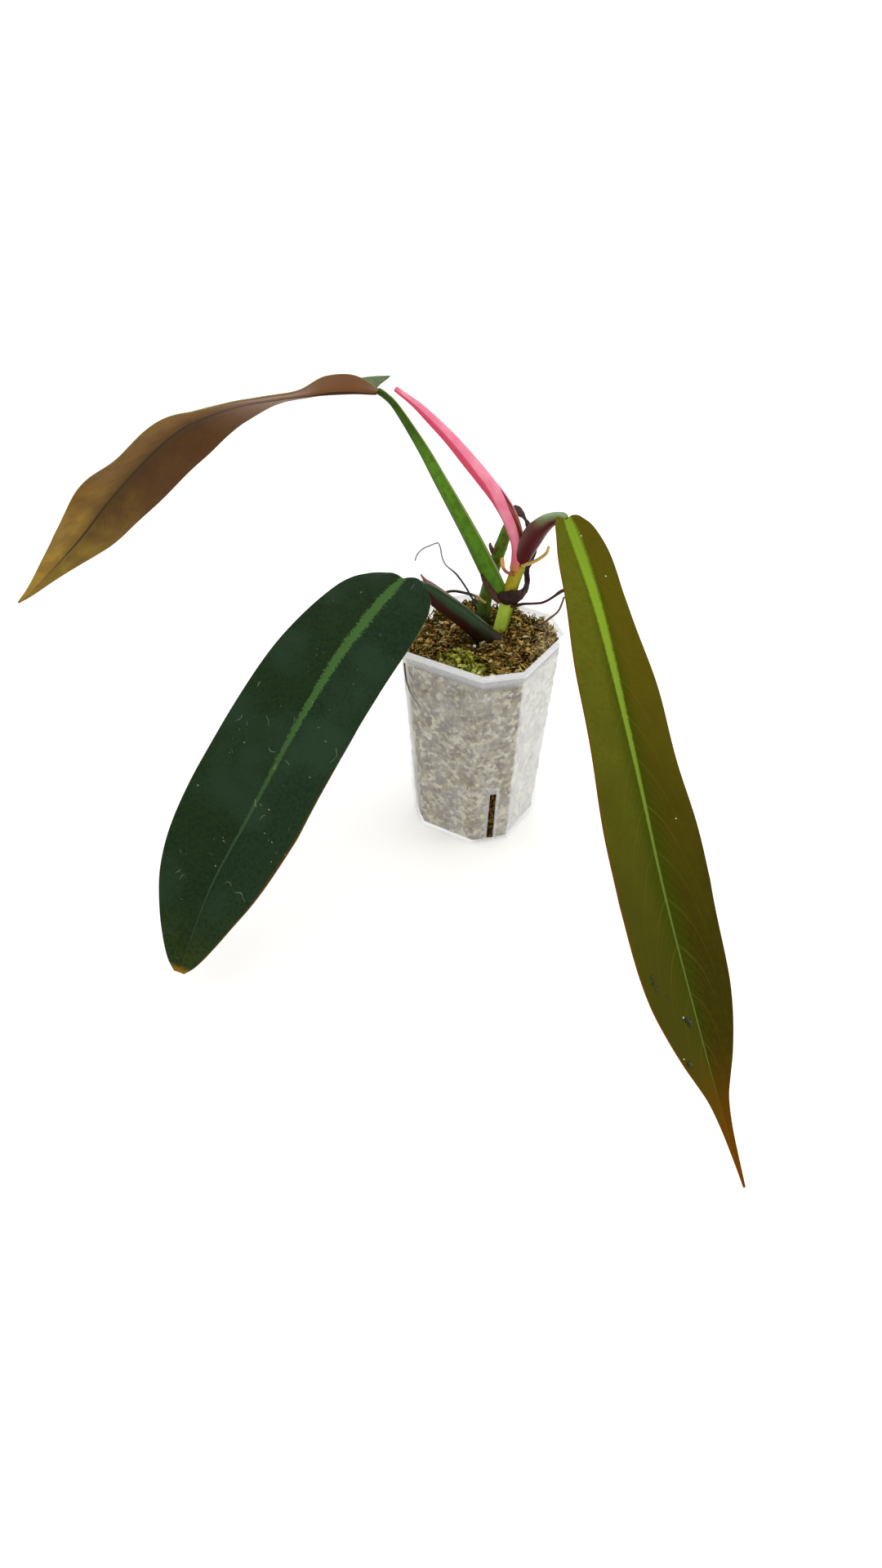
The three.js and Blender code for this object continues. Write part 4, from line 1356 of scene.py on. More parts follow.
    def _fibres(self, kind: FibreKind, order: int) -> bpy.types.Object:
        """Lays every fibre of one kind, in colours with painted shade in the hollows and near the stems and
        painted light on the lumps.
        """
        draw = np.random.default_rng(self.seed + order)
        sides = [(k, (k + 1) % 3) for k in range(3)]
        faces = [(0, 1 + here, 1 + after) for here, after in sides]
        for ring in (1, 4):
            faces += [(ring + here, ring + 3 + here, ring + 3 + after, ring + after) for here, after in sides]
        faces += [(10, 7 + after, 7 + here) for here, after in sides]
        weights = np.array([weight for weight, _ in kind.colours])
        strands, tints = [], []
        tries = 0
        while len(strands) < kind.count and tries < kind.count * self.tries:
            tries += 1
            spot = self._spot(draw, kind.heap)
            strand = self._strand(draw, kind, *spot) if spot else None
            if strand is None:
                continue
            strands.append(strand)
            colour = np.array(kind.colours[draw.choice(len(weights), p=weights / weights.sum())][1])
            # painted shade and light: fibres darker in the hollows and near the stems, lighter on the lumps
            relief = np.clip(self.even_tint + kind.relief_shading * self.lump(*spot), *self.tint_range)
            shading = relief * self.openness(*spot)
            tints.append(np.clip(colour * shading * draw.uniform(*self.tint_spread), 0, 1))
        points = len(strands[0])
        polygons = [tuple(points * i + corner for corner in face)
                    for i in range(len(strands)) for face in faces]
        mesh = bpy.data.meshes.new(kind.name)
        mesh.from_pydata((np.vstack(strands) * MM).tolist(), [], polygons)
        colours = np.repeat(np.array(tints), points, axis=0)
        colours[:, 3] = 1.0
        layer = mesh.color_attributes.new("tint", "FLOAT_COLOR", "POINT")
        layer.data.foreach_set("color", colours.ravel())
        piece = bpy.data.objects.new(kind.name, mesh)
        bpy.context.collection.objects.link(piece)
        with editing(piece):
            bpy.ops.mesh.normals_make_consistent(inside=False)
        bpy.ops.object.shade_smooth()
        dress(piece, None, "moss", FibreTint(kind.name + "_tint").build())
        return piece


@dataclass(frozen=True)
class PerliteGrain:
    """The white grain on the moss: a lumpy pebble over the CAD grain."""

    name: str = "perlite_pebble"
    radius: float = 0.9
    lump: float = 0.12

    def build(self) -> bpy.types.Object:
        """Models the grain in its CAD solid's place."""
        low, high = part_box("perlite_grain")
        deselect()
        bpy.ops.mesh.primitive_ico_sphere_add(subdivisions=4, radius=self.radius * MM)
        piece = bpy.context.object
        piece.name = piece.data.name = self.name
        centre = (low + high) / 2
        for vertex in piece.data.vertices:
            at = vertex.co / MM
            lumps = noise.noise(at * 1.6) + 0.4 * noise.noise(at * 4)
            vertex.co *= 1 - self.lump + self.lump * lumps
            vertex.co += centre
        bpy.ops.object.shade_smooth()
        grain = PlainFinish("perlite_white", paint(250, 250, 246), paint(226, 224, 216))
        dress(piece, "perlite_grain", "perlite", grain.build())
        return piece


@dataclass(frozen=True)
class Beads:
    """Small low domes that lie on a leaf, such as drops of water, white specks and painted glints."""

    name: str
    leaf: Leaf
    slot: str
    finish: PlainFinish
    spots: Sequence[Point]            # share along, place across from -1 to 1, radius
    height: float = 0.45              # as a share of the radius

    def build(self) -> bpy.types.Object:
        """Models each dome on the blade and joins them."""
        curve = Curve(self.leaf.route)
        stations = self.leaf.stations()
        domes = []
        for s, q, radius in self.spots:
            upper, _ = self.leaf.section(curve, s)
            ahead, _ = self.leaf.section(curve, s + 0.01)
            column = int(np.argmin(np.abs(stations - q)))
            at = upper[column]
            across = unit(upper[column + 1] - upper[column - 1])
            along = unit(ahead[column] - at)
            out = unit(np.cross(across, along))
            deselect()
            bpy.ops.mesh.primitive_uv_sphere_add(segments=20, ring_count=12, radius=1.0)
            dome = bpy.context.object
            axes = np.column_stack([across, along, out])
            for vertex in dome.data.vertices:
                local = np.array(vertex.co) * (radius, radius, radius * self.height)
                vertex.co = Vector((at + axes @ local) * MM)
            bpy.ops.object.shade_smooth()
            domes.append(dome)
        piece = join(domes, self.name)
        dress(piece, None, self.slot, self.finish.build())
        return piece


# The plant's own pieces

OLIVE_TOP = LeafFace(
    "leaf_olive_top", lamina=(paint(88, 90, 22), paint(64, 62, 16)),
    other=(paint(82, 74, 14), paint(52, 46, 9)), mottle=paint(66, 64, 8), mottle_size=2.2, mottle_share=0.25,
    rib=(paint(120, 148, 40), paint(90, 100, 50)), rib_turns=(0.2, 0.75), rib_at_base=0.31, rib_at_tip=0.018,
    rib_narrows_to=0.8, rib_power=2.76, rib_fray=0.12, rib_soft=0.4, beside_rib=paint(48, 62, 6),
    beside_reach=0.4, beside_share=0.7, vein=paint(112, 112, 40), vein_show=0.15, margin=paint(112, 56, 10),
    margin_width=0.03, tip=paint(104, 60, 6), tip_from=0.8, roughness=0.5, gloss=0.0,
)
OLIVE_UNDER = LeafFace(
    "leaf_olive_under", lamina=(paint(126, 104, 52), paint(118, 92, 46)),
    mottle=paint(110, 88, 44),
    rib=(paint(142, 140, 70), paint(130, 110, 60)), margin=paint(122, 66, 34), tip=paint(120, 84, 44),
    vein=paint(94, 66, 40), vein_show=0.25, roughness=0.45,
)
DARK_TOP = LeafFace(
    "leaf_dark_top", lamina=(paint(26, 44, 19), paint(36, 50, 12)),
    other=(paint(28, 47, 26), paint(42, 56, 16)), turns=(0.8, 1.02), mottle=paint(15, 30, 14),
    mottle_size=1.3, mottle_share=0.6, cloud=paint(38, 58, 40), rib=(paint(62, 94, 44), paint(48, 68, 44)),
    rib_turns=(0.25, 0.8), rib_at_base=0.13, rib_at_tip=0.01, rib_power=1.9, rib_fray=0.4,
    flush=paint(84, 50, 14), vein=paint(42, 66, 36), specks=0.25, scratches=0.45, roughness=0.46, gloss=0.06,
    margin=paint(120, 112, 60), margin_width=0.01, tip=paint(132, 96, 18), tip_from=0.982,
)
DARK_UNDER = LeafFace(
    "leaf_dark_under", lamina=(paint(96, 74, 52), paint(104, 80, 52)),
    mottle=paint(78, 60, 44),
    rib=(paint(110, 120, 70), paint(104, 96, 60)), margin=paint(150, 120, 90), tip=paint(150, 126, 64),
    vein=paint(70, 44, 40), vein_show=0.3, roughness=0.45,
)
COPPER_UNDER = LeafFace(
    "leaf_copper_under", lamina=(paint(84, 56, 28), paint(134, 110, 38)),
    other=(paint(112, 80, 32), paint(150, 120, 36)), turns=(0.55, 0.95), mottle=paint(66, 42, 22),
    mottle_size=9.0, mottle_share=0.3, rib=(paint(62, 40, 22), paint(58, 46, 18)), rib_at_base=0.1,
    rib_at_tip=0.04, rib_line=paint(40, 30, 14), beside_rib=paint(60, 42, 20), beside_reach=0.5,
    beside_share=0.6, vein=paint(66, 44, 24), vein_show=0.3, lobe=paint(112, 74, 44), lobe_to=0.4,
    margin=paint(120, 96, 48), tip=paint(140, 84, 40), tip_from=0.985,
)
GREY_TOP = LeafFace(
    "leaf_grey_top", lamina=(paint(96, 112, 76), paint(80, 92, 50)),
    mottle=paint(78, 90, 62),
    rib=(paint(120, 150, 90), paint(110, 130, 80)), margin=paint(140, 130, 90), tip=paint(134, 116, 52),
    vein=paint(120, 134, 92), vein_show=0.12,
)

RIGHT_LEAF = Leaf(
    name="leaf_right", node="blade_right", slot="blade_olive", upper=OLIVE_TOP, lower=OLIVE_UNDER,
    route=((33, -12, 162), (44, -65, 150), (56, -117, 122), (69, -152, 84), (82, -180, 50), (90, -200, 31),
           (99, -221, 12)),
    half_width=((0, 5.2), (0.02, 8.2), (0.06, 10.3), (0.12, 12.5), (0.25, 16), (0.38, 18.6), (0.5, 21),
                (0.6, 22), (0.68, 21.4), (0.75, 18.8), (0.8, 15), (0.84, 11), (0.865, 7.8), (0.89, 4.8),
                (0.925, 2.6), (0.96, 1.4), (1, 0.4)),
    roll=((0, 12), (0.08, 12), (0.17, 18), (0.45, 19), (0.68, 13), (0.88, 12), (1, 18)),
    fold=((0, 20), (0.08, 18), (0.17, 7), (0.6, 6), (0.85, 8), (1, 20)),
    skew=((0, -0.2), (0.05, -0.16), (0.12, -0.06), (0.3, -0.03), (1, -0.03)),
    bow=-10, rib=1.3, lobes=(-0.6, 2.2, 0.8), waves=(0.8, 0.8, 4.5, 0.4),
)
LEFT_LEAF = Leaf(
    name="leaf_left", node="blade_left", slot="blade_dark", upper=DARK_TOP, lower=DARK_UNDER,
    route=((-33, -33, 143), (-43.1, -45.4, 135.3), (-58, -61, 119), (-73, -81, 98), (-89, -100, 71),
           (-105, -118, 44), (-115.3, -141, 19)),
    half_width=((0, 7.8), (0.012, 12.7), (0.025, 15.6), (0.06, 19), (0.12, 21.4), (0.25, 23.2), (0.38, 24.5),
                (0.5, 25.6), (0.62, 26), (0.72, 24.6), (0.8, 21.2), (0.88, 15.4), (0.94, 10.2), (0.98, 5.8),
                (1, 2.2)),
    roll=((0, 4), (0.06, 15), (0.2, 28), (0.36, 24), (0.75, 24), (1, 14)),
    fold=((0, 0), (0.2, 3), (0.36, 15), (0.75, 21), (1, 16)),
    skew=((0, -0.2), (0.025, -0.12), (0.1, -0.02), (0.3, 0.04), (1, 0.045)),
    bow=-8, rib=1.2, lobes=(0.5, 3, 0.8), waves=(0.7, 0.7, 3, 0.2),
)
BACK_LEAF = Leaf(
    name="leaf_back", node="blade_back", slot="blade_copper", upper=GREY_TOP, lower=COPPER_UNDER,
    route=((-48, 25, 200), (-68, 19, 201), (-93, 20, 197), (-118, 29, 188), (-141, 34, 175), (-171, 39, 146),
           (-194, 40, 120), (-219, 37, 95), (-230, 39, 85)),
    half_width=((0, 8), (0.025, 10), (0.07, 12), (0.17, 15), (0.25, 17), (0.33, 18.3), (0.42, 19.4),
                (0.5, 20), (0.6, 20), (0.68, 19.4), (0.75, 18.2), (0.8, 15), (0.84, 11.4), (0.88, 8),
                (0.92, 5), (0.96, 2.4), (1, 0.5)),
    roll=((0, 4), (0.05, -24), (0.09, -33), (0.13, -22), (0.17, -19), (0.25, -20), (0.33, -27), (0.42, -39),
          (0.5, -43), (0.8, -48), (1, -48)),
    fold=((0, 26), (0.05, 27), (0.09, 14), (0.13, 0), (0.17, -3), (0.25, -3), (0.33, -9), (0.42, -20),
          (0.5, -18), (0.6, -14), (0.8, -7), (1, -4)),
    skew=((0, 0), (1, 0)),
    bow=0, rib=1.2, lobes=(8, -1, 0.4), lobe_sharp=2.0, waves=(0.5, 1.8, 4.2, 0.2),
)

# the drops' dark olive is painted shade, standing in for the dark that clear water shows by refraction
WATER = PlainFinish(
    "water_dark", paint(34, 36, 3), paint(52, 54, 8), size=2.0, roughness=0.12, depth=0.0, gloss=0.16,
)
SPECKS_AND_GLINTS = PlainFinish("white_specks_glints", paint(240, 238, 210), paint(214, 210, 180))
BEADS: Sequence[Beads] = (
    Beads(
        "water_drops", RIGHT_LEAF, "blade_olive", WATER,
        ((0.715, 0.78, 0.9), (0.724, 0.76, 1.0), (0.732, 0.74, 0.8), (0.745, 0.57, 0.65), (0.782, 0.28, 1.1),
         (0.788, 0.24, 1.3), (0.838, 0.78, 1.3)),
    ),
    # white specks on the right leaf; the last two, which sit beside drops, are painted glints of the drops
    Beads(
        "white_specks_and_glints", RIGHT_LEAF, "perlite", SPECKS_AND_GLINTS,
        ((0.048, -0.32, 0.3), (0.138, -0.57, 0.3), (0.528, -0.57, 0.25), (0.778, 0.36, 0.3),
         (0.829, 0.85, 0.25)),
    ),
)

BURIED_ROOT = DryTissue(
    "root_buried", paint(70, 48, 34), paint(118, 92, 66), paint(140, 120, 90), tip_from=0.9,
)
WALL_ROOT = Limb(
    ((-33.6, -17.4, 92.9), (-33.1, -17.3, 87.3), (-32.2, -17.4, 81.8), (-30.3, -18.1, 77), (-27.6, -19.3, 73),
     (-25.7, -20.1, 70.6)),
    ((0, 0.5), (0.6, 0.45), (1, 0.3)), ragged=0.1, rows=40, columns=10,
)
STEM_FRONT = Limb(
    ((5, 10, 70), (7, 9, 84), (8.4, 7.8, 96), (11.4, 6, 113), (12.4, 6.4, 119), (16, 7.9, 131.7)),
    ((0, 2.2), (0.2, 3.2), (0.45, 3.2), (0.66, 3.3), (0.73, 3.9), (0.8, 3.2), (0.94, 3.1), (1, 3.3)),
    facing=(-0.6, -0.8, 0.2), rings=((0.715, 0.25, 0.7), (0.75, 0.2, 0.6), (0.955, 0.2, 0.6)), rows=90,
)
# the bright front is the lit side with a painted highlight, the back its painted shade
STEM_FRONT_SKIN = StalkSkin(
    "stem_bright", front=paint(190, 216, 80), back=paint(100, 124, 18), foot=paint(142, 168, 52),
    head=paint(172, 152, 34), head_from=0.74, head_soft=0.04, foot_to=0.42, streaks=0.25,
    ring=paint(96, 48, 28), ring_at=0.725, ring_width=0.035, edge=0.35, soft=0.6,
)
PETIOLE_LEFT = Limb(
    ((9.4, 3.2, 84), (9, 0, 92), (0.4, -1.4, 101), (-9, -5, 111), (-18, -9, 120), (-24.6, -13.4, 127.6),
     (-29.6, -22, 134.4), (-33, -32, 140.4)),
    ((0, 3.8), (0.2, 4.6), (0.5, 4.4), (0.66, 3.8), (0.8, 2.6), (1, 1.6)), facing=(0.3, -0.1, 0.95), rows=100,
)
PETIOLE_LEFT_SKIN = StalkSkin(
    "petiole_dark", front=paint(34, 58, 30), back=paint(46, 22, 16), foot=paint(30, 25, 14),
    head=paint(38, 56, 28), head_from=0.9, foot_to=0.4, streaks=0.25, edge=0.3, soft=0.3, roughness=0.34,
)
SHEATH_MARGIN = Limb(
    ((-0.6, 0.6, 106.2), (-7.3, -0.4, 112.2), (-16.1, -3.9, 120.6), (-21.8, -7.6, 126.8),
     (-24.9, -10.5, 130.6), (-26.9, -12, 134.2)),
    ((0, 0.6), (0.2, 1.0), (0.8, 1.1), (1, 0.4)), columns=14,
)
SHEATH_MARGIN_SKIN = DryTissue(
    "sheath_edge", paint(150, 92, 86), paint(176, 116, 104), paint(186, 110, 110), tip_from=0.9,
    roughness=0.5, wrinkle=0.1,
)


def moss_root(turn: float, reach: float, depth: float, radius: float) -> Limb:
    """One of the buried roots of the front stem, as in the CAD solid.

    Args:
        turn: its direction about the stem, in degrees.
        reach: how far it runs outwards.
        depth: the height of its tip.
        radius: its thickness at the middle.

    Returns:
        The root as a limb.
    """
    angle = math.radians(turn)
    out = np.array([math.cos(angle), math.sin(angle), 0])
    curl = np.array([-out[1], out[0], 0])
    foot = np.array([6, 9.5, 78])
    drop = foot[2] - depth

    def reached(outward: float, sideways: float, z: float) -> np.ndarray:
        """A point so far out and sideways from the pot's middle, at height z."""
        return out * outward + curl * sideways + np.array([0, 0, z])

    shoulder = foot + (reached(reach * 0.7, 0, foot[2]) - foot) * 0.6
    shoulder[2] = foot[2] - drop * 0.08
    route = (foot, shoulder, reached(reach * 0.85, reach * 0.15, foot[2] - drop * 0.35),
             reached(reach, -reach * 0.1, foot[2] - drop * 0.7), reached(reach * 0.8, reach * 0.2, depth))
    radii = ((0, radius * 1.2), (0.4, radius), (1, radius * 0.5))
    return Limb([tuple(point) for point in route], radii, rows=24, columns=10)


MOSS_ROOTS: Sequence[Limb] = (
    moss_root(200, 24, 40, 1.3), moss_root(150, 26, 22, 1.1), moss_root(95, 19, 12, 1.2),
    moss_root(30, 17, 30, 1.0), moss_root(320, 19, 14, 1.1), moss_root(265, 21, 34, 1.2),
)


def stalk(name: str, node: str, slot: str, skin: StalkSkin | DryTissue, route: Route, radii: Stops,
          **form: Any) -> Stalk:
    """A stalk of one limb.

    Args:
        name: the piece's name.
        node: the CAD node that it stands for.
        slot: the record's material slot.
        skin: its skin.
        route: the limb's route.
        radii: its radii along it.
        form: the limb's other fields.

    Returns:
        The stalk.
    """
    return Stalk(name, node, slot, (Limb(route, radii, **form),), (skin,))


STALKS: Sequence[Stalk] = (
    Stalk("stem_front_skin", "stem_front", "stem_bright", (STEM_FRONT, *MOSS_ROOTS),
          (STEM_FRONT_SKIN, BURIED_ROOT)),
    stalk(
        "stem_back_skin", "stem_back", "stem_dark",
        StalkSkin("stem_olive", front=paint(84, 112, 22), back=paint(34, 48, 8), foot=paint(32, 46, 10),
                  head=paint(74, 84, 18), blotch=paint(58, 66, 14), foot_to=0.42, streaks=0.3, edge=0.3,
                  soft=0.6),
        ((4.5, 12.5, 84), (0.8, 14.6, 96), (1, 17.6, 105), (3.2, 19.4, 117), (7, 22, 131), (9.8, 23.8, 139.5),
         (12.6, 25.2, 147)),
        ((0, 2.6), (0.18, 3.1), (0.55, 3.0), (0.8, 2.8), (0.94, 2.4), (1, 1.6)),
        facing=(0, -0.9, 0.4), rings=((0.27, 0.3, 0.8), (0.76, 0.25, 0.7)),
    ),
    stalk(
        "petiole_right_skin", "petiole_right", "petiole_maroon",
        # the front colour here is partly a painted highlight
        StalkSkin("petiole_maroon", front=paint(98, 70, 58), back=paint(76, 26, 28), foot=paint(96, 10, 26),
                  head=paint(124, 152, 106), head_from=0.56, foot_to=0.16, streaks=0.3, edge=0.35, soft=0.8,
                  roughness=0.34),
        ((16.3, 7.6, 131.3), (18.3, 6.1, 139.6), (21.4, 2.6, 148.7), (25, -1.7, 155.1), (28.7, -6, 159.4),
         (31.6, -9.4, 161.6), (33, -12, 162)),
        ((0, 3.0), (0.15, 4.0), (0.4, 4.8), (0.65, 3.8), (0.85, 2.4), (1, 1.6)),
        facing=(-0.5, 0.2, 0.9), channel=0.5,
    ),
    stalk(
        "petiole_back_skin", "petiole_back", "petiole_green",
        StalkSkin("petiole_green", front=paint(80, 124, 26), back=paint(52, 66, 8), foot=paint(74, 60, 26),
                  head=paint(44, 68, 6), blotch=paint(60, 94, 14), head_from=0.62, foot_to=0.1, streaks=0.25,
                  edge=0.5, soft=0.5, stripe=paint(132, 158, 84), stripe_turn=0.17),
        ((9.6, 6.4, 113), (2.4, 7.4, 127), (-7, 8.2, 145), (-20, 9, 168), (-28, 11.6, 181), (-39, 18, 195),
         (-44, 21.4, 198.8), (-48, 25, 200)),
        ((0, 3.6), (0.12, 4.1), (0.35, 3.6), (0.62, 2.7), (0.75, 2.15), (0.92, 1.5), (1, 1.5)),
        facing=(0.1, -0.9, 0.4), rows=110,
    ),
    Stalk("petiole_left_skin", "petiole_left", "petiole_dark", (PETIOLE_LEFT, SHEATH_MARGIN),
          (PETIOLE_LEFT_SKIN, SHEATH_MARGIN_SKIN)),
    stalk(
        "new_leaf_skin", "new_leaf_rolled", "new_leaf",
        StalkSkin("leaf_rolled", front=paint(122, 48, 34), back=paint(92, 34, 28), foot=paint(148, 74, 52),
                  head=paint(84, 36, 34), head_from=0.75, foot_to=0.15, streaks=0.5, roughness=0.28),
        ((15.6, 8.2, 132), (15.4, 7.9, 141), (12.6, 7, 151), (8.4, 6.6, 158.6), (4.4, 6.4, 166.6)),
        ((0, 1.7), (0.2, 2.2), (0.5, 2.3), (0.8, 1.5), (1, 0.4)), facing=(0.8, -0.3, 0.5), channel=0.45,
    ),
    stalk(
        "dried_strap", "sheath_dry_long", "dry_sheath",
        DryTissue("strap_dry", paint(34, 18, 11), paint(80, 47, 28), paint(60, 50, 40), tip_from=0.72,
                  highlight_share=0.45),
        ((6.8, 2.6, 117.1), (13.6, 2.9, 116.8), (18.2, 6.3, 117.8), (19.8, 10.4, 120.6), (19.5, 13.9, 125),
         (21.3, 16.9, 129), (23, 19, 133), (22.6, 20.6, 137.2), (20.4, 20.5, 141.4), (18, 18.8, 146.5),
         (15.6, 17.8, 150.2), (13, 17, 152.6), (11, 15.4, 152.4)),
        ((0, 2.4), (0.12, 4.2), (0.22, 3.2), (0.32, 2.0), (0.42, 1.6), (0.5, 1.1), (0.64, 0.7), (0.76, 1.5),
         (0.84, 0.7), (0.93, 1.9), (1, 1.2)),
        flat=0.45, twist=2.8, ragged=0.2, rows=170, columns=32,
    ),
    stalk(
        "dried_sheath", "sheath_dry_left", "dry_sheath",
        DryTissue("sheath_brown", paint(60, 36, 22), paint(98, 64, 40), paint(96, 56, 38)),
        ((8.3, 3.2, 114.6), (5.4, 3.2, 118.3), (1.4, 3.6, 123.5), (-1.1, 3.9, 127.3)),
        ((0, 2.4), (0.35, 3.2), (0.8, 1.9), (1, 0.7)), flat=0.4, ragged=0.12,
    ),
    stalk(
        "dry_bract", "bract_dry", "dry_sheath",
        DryTissue("bract_brown", paint(96, 58, 48), paint(130, 84, 64), paint(80, 46, 38)),
        ((4.4, 20.4, 129.6), (3.2, 18.8, 132.6), (2.5, 17.2, 135), (2.4, 16, 136.8)),
        ((0, 1.2), (0.5, 1.0), (1, 0.4)), ragged=0.15, rows=24,
    ),
    stalk(
        "root_gold_right", "aerial_root_gold_right", "root_gold",
        DryTissue("root_gold", paint(186, 150, 70), paint(214, 182, 100), paint(196, 184, 116), tip_from=0.8,
                  roughness=0.6, wrinkle=0.15),
        ((16.4, 5.4, 131.4), (20.6, 3.4, 134), (24, 2.6, 136.4), (27, 2.4, 139.4), (27.9, 2.8, 142.6)),
        ((0, 1.0), (0.4, 0.8), (1, 0.7)), ragged=0.08, rows=40, columns=16,
    ),
    stalk(
        "root_gold_left", "aerial_root_gold_left", "root_gold",
        DryTissue("root_gold_brown", paint(142, 72, 48), paint(168, 98, 60), paint(206, 150, 74),
                  tip_from=0.62, roughness=0.6, wrinkle=0.15),
        ((15, 6.4, 126.6), (11.9, 3.6, 128.2), (9.4, 2.6, 130.2), (8.2, 2.4, 133), (7.9, 2.6, 136.4)),
        ((0, 0.9), (0.6, 0.7), (0.85, 1.0), (1, 0.7)), ragged=0.1, rows=40, columns=16,
    ),
    stalk(
        "root_dark_right", "aerial_root_dark_right", "root_dark",
        DryTissue("root_dark", paint(52, 32, 26), paint(84, 56, 44), paint(40, 26, 22), tip_from=0.9,
                  wrinkle=0.12),
        ((12.8, 3.4, 112), (14.8, 2.6, 113), (18.3, 1.4, 114.7), (22.5, 0.6, 115.5), (26.1, 0, 116.3),
         (28.8, -0.4, 117.8), (31.5, -0.6, 120), (34.3, -0.6, 122.5), (37, -0.6, 124)),
        ((0, 0.9), (0.3, 0.6), (0.75, 0.6), (0.9, 0.8), (1, 0.6)), ragged=0.08, rows=70, columns=14,
    ),
    stalk(
        "root_low_right", "aerial_root_low_right", "root_grey",
        DryTissue("root_grey_brown", paint(122, 98, 82), paint(158, 136, 114), paint(96, 62, 40),
                  tip_from=0.4, wrinkle=0.1),
        ((36.6, 5.4, 117), (36.1, 6, 114), (35.3, 7, 110.2), (34.1, 8, 107.3), (31.7, 9, 104.3),
         (29, 10, 101.2), (25.9, 11, 98.6), (21.9, 11.5, 96.2), (15.7, 11, 93), (10.4, 9, 88)),
        ((0, 0.5), (0.5, 0.55), (1, 0.7)), ragged=0.08, rows=80, columns=12,
    ),
    stalk(
        "root_curl_left", "aerial_root_curl_left", "root_dark",
        DryTissue("root_curl_gold", paint(188, 158, 104), paint(206, 180, 130), paint(52, 44, 34),
                  tip_from=0.07, wrinkle=0.1),
        ((1.8, 13, 108.2), (-0.2, 13, 109.6), (-3.1, 13, 111.6), (-7.8, 12.6, 113.2), (-12.9, 11.4, 114.6),
         (-16.8, 10, 114.4), (-20.8, 9.2, 111.6), (-26, 9.4, 107), (-28, 10, 101), (-28, 10.4, 93)),
        ((0, 0.5), (0.1, 0.65), (1, 0.6)), ragged=0.08, rows=100, columns=12,
    ),
    stalk(
        "root_thread_left", "aerial_root_thread_left", "root_grey",
        DryTissue("root_blue_grey", paint(76, 84, 84), paint(104, 112, 110), paint(140, 150, 152),
                  tip_from=0.4, wrinkle=0.08),
        ((-0.4, 17.6, 104), (-4, 17, 107.3), (-7.9, 16, 114.5), (-12.3, 15.2, 121.2), (-16.3, 14.8, 124.9),
         (-17.9, 14.6, 127.1), (-19.1, 14.4, 130.6), (-19.7, 14.4, 134.1), (-20.4, 14.4, 136),
         (-21.4, 14.3, 136.6), (-24.9, 14, 135.1), (-27.8, 13.6, 133.7), (-30.1, 13.3, 131),
         (-31, 13, 128.1)),
        ((0, 0.5), (0.35, 0.5), (0.5, 0.38), (1, 0.35)), ragged=0.06, rows=150, columns=10,
    ),
)


# Studio


@dataclass(frozen=True)
class Lamp:
    """One soft area light, placed and aimed in the plant's axes, in metres."""

    name: str
    at: Point
    size: float
    watts: float


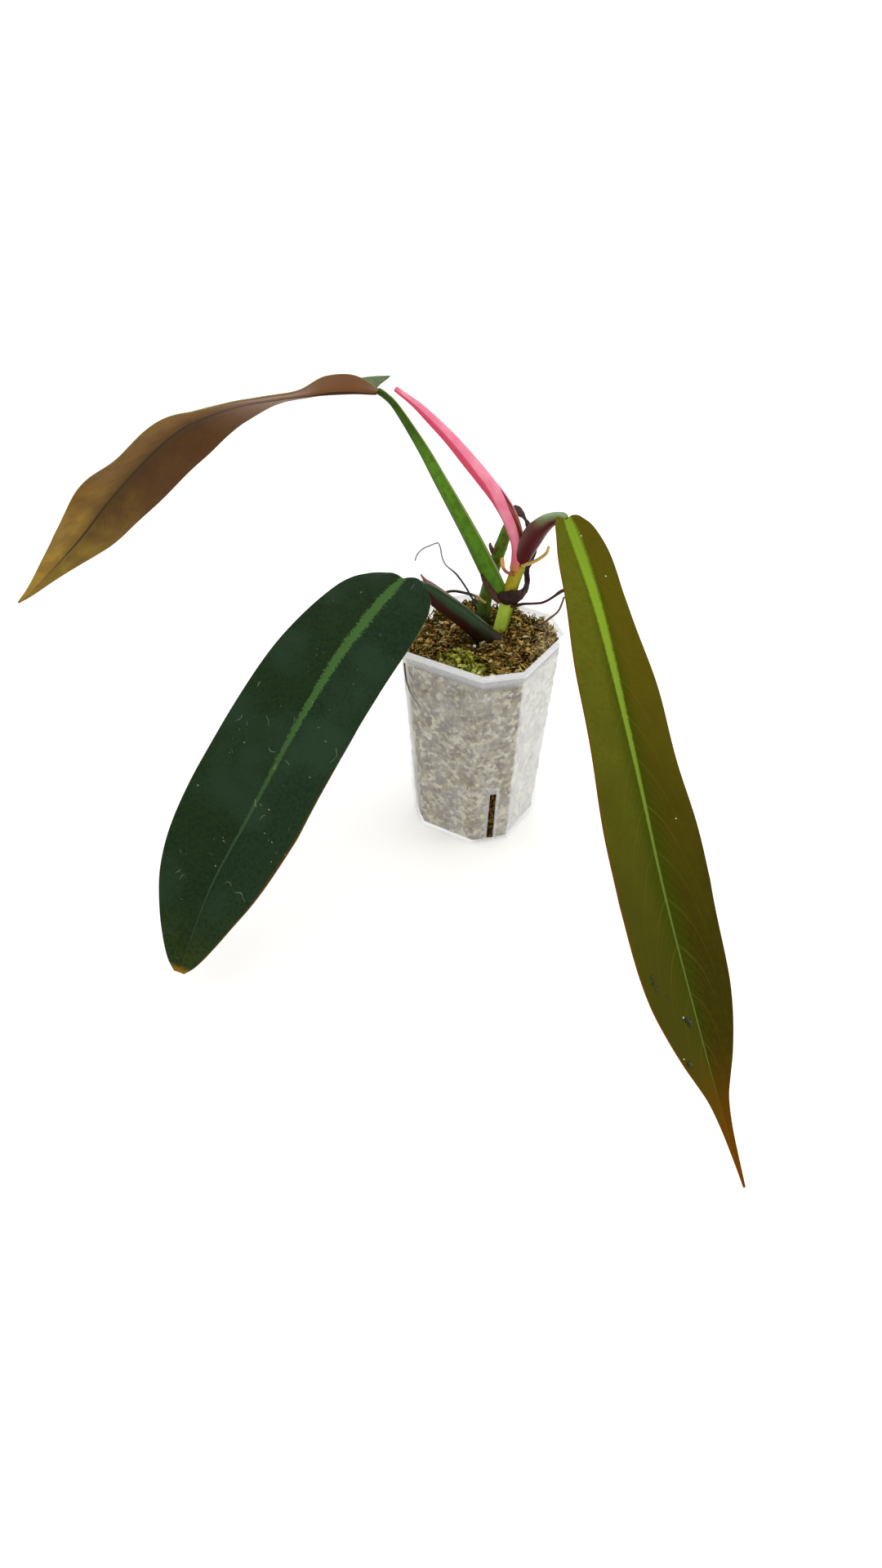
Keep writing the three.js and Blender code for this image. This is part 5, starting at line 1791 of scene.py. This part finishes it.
@dataclass(frozen=True)
class Studio:
    """A plain pale floor, a white surround, soft lights and the photograph's camera."""

    floor_half: float = 20.0
    floor_colour: Colour = paint(252, 252, 250)
    floor_glow: float = 0.14
    surround: float = 1.0
    aim: Point = (0.0, 0.0, 0.1)
    lamps: Sequence[Lamp] = (
        Lamp("lamp_top", (-0.1, 0.35, 1.5), 1.6, 4),
        Lamp("lamp_right", (1.3, 0.1, 0.7), 1.0, 4),
        Lamp("lamp_left", (-1.2, 0.2, 0.8), 1.0, 1.5),
        Lamp("lamp_front", (-0.2, -1.4, 1.0), 1.2, 1),
    )
    camera_at: Point = (0.0, -0.4525, 0.3564)
    yaw: float = -2.12                # degrees, to the right of straight ahead
    pitch: float = 37.20              # degrees below the level
    roll: float = 1.18
    lens: float = 26.0
    film: float = 36.0                # the photograph's long side

    def _turned(self, point: Point) -> Vector:
        """A point in the plant's axes, in the pot's."""
        return Vector(turned([point])[0])

    def floor(self) -> None:
        """Lays the floor."""
        deselect()
        bpy.ops.mesh.primitive_plane_add(size=2 * self.floor_half)
        floor = bpy.context.object
        floor.name = "studio_floor"
        pale = Shade("floor_pale").finish(
            Base_Color=self.floor_colour, Roughness=0.9, Emission_Color=self.floor_colour,
            Emission_Strength=self.floor_glow,
        )
        floor.data.materials.append(pale)

    def light(self) -> None:
        """Sets the white surround and the soft lights."""
        world = bpy.data.worlds.new("white surround")
        world.use_nodes = True
        background = world.node_tree.nodes["Background"]
        background.inputs["Color"].default_value = (1, 1, 1, 1)
        background.inputs["Strength"].default_value = self.surround
        bpy.context.scene.world = world
        for lamp in self.lamps:
            data = bpy.data.lights.new(lamp.name, "AREA")
            data.shape = "DISK"
            data.size = lamp.size
            data.energy = lamp.watts
            light = bpy.data.objects.new(lamp.name, data)
            bpy.context.collection.objects.link(light)
            light.location = self._turned(lamp.at)
            away = light.location - self._turned(self.aim)
            light.rotation_euler = away.to_track_quat("Z", "Y").to_euler()

    def camera(self) -> None:
        """Sets the camera as it was fitted to the photograph."""
        yaw, pitch, roll = math.radians(self.yaw), math.radians(self.pitch), math.radians(self.roll)
        ahead = Vector((math.sin(yaw) * math.cos(pitch), math.cos(yaw) * math.cos(pitch), -math.sin(pitch)))
        level = Vector((math.cos(yaw), -math.sin(yaw), 0))
        upright = level.cross(ahead)
        right = level * math.cos(roll) + upright * math.sin(roll)
        up = upright * math.cos(roll) - level * math.sin(roll)
        axes = [self._turned(tuple(axis)) for axis in (right, up, -ahead)]
        pose = Matrix([[axis[row] for axis in axes] for row in range(3)]).to_4x4()
        pose.translation = self._turned(self.camera_at)
        data = bpy.data.cameras.new("camera")
        data.sensor_fit = "AUTO"
        data.sensor_width = self.film
        data.lens = self.lens
        data.clip_start = 0.01
        camera = bpy.data.objects.new("camera", data)
        bpy.context.collection.objects.link(camera)
        camera.matrix_world = pose
        bpy.context.scene.camera = camera

    def build(self) -> None:
        """Sets up the whole studio."""
        bpy.context.scene.view_settings.view_transform = "Standard"
        self.floor()
        self.light()
        self.camera()


def main() -> None:
    """Builds every piece over the frame, and the studio round it."""
    logging.basicConfig(level=logging.INFO, format="%(relativeCreated)6d ms  %(message)s")
    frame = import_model()
    pot = Pot()
    pot.build(frame["nodes"]["pot_shell"])
    Moss(pot).build(frame["nodes"]["moss_plug"])
    PerliteGrain().build()
    for leaf in (RIGHT_LEAF, LEFT_LEAF, BACK_LEAF):
        leaf.build()
    for stalk in STALKS:
        stalk.build()
    Cataphyll().build()
    dress(WALL_ROOT.build("wall_root"), None, "root_dark", BURIED_ROOT.build())
    for beads in BEADS:
        beads.build()
    Studio().build()


if __name__ == "__main__":
    main()
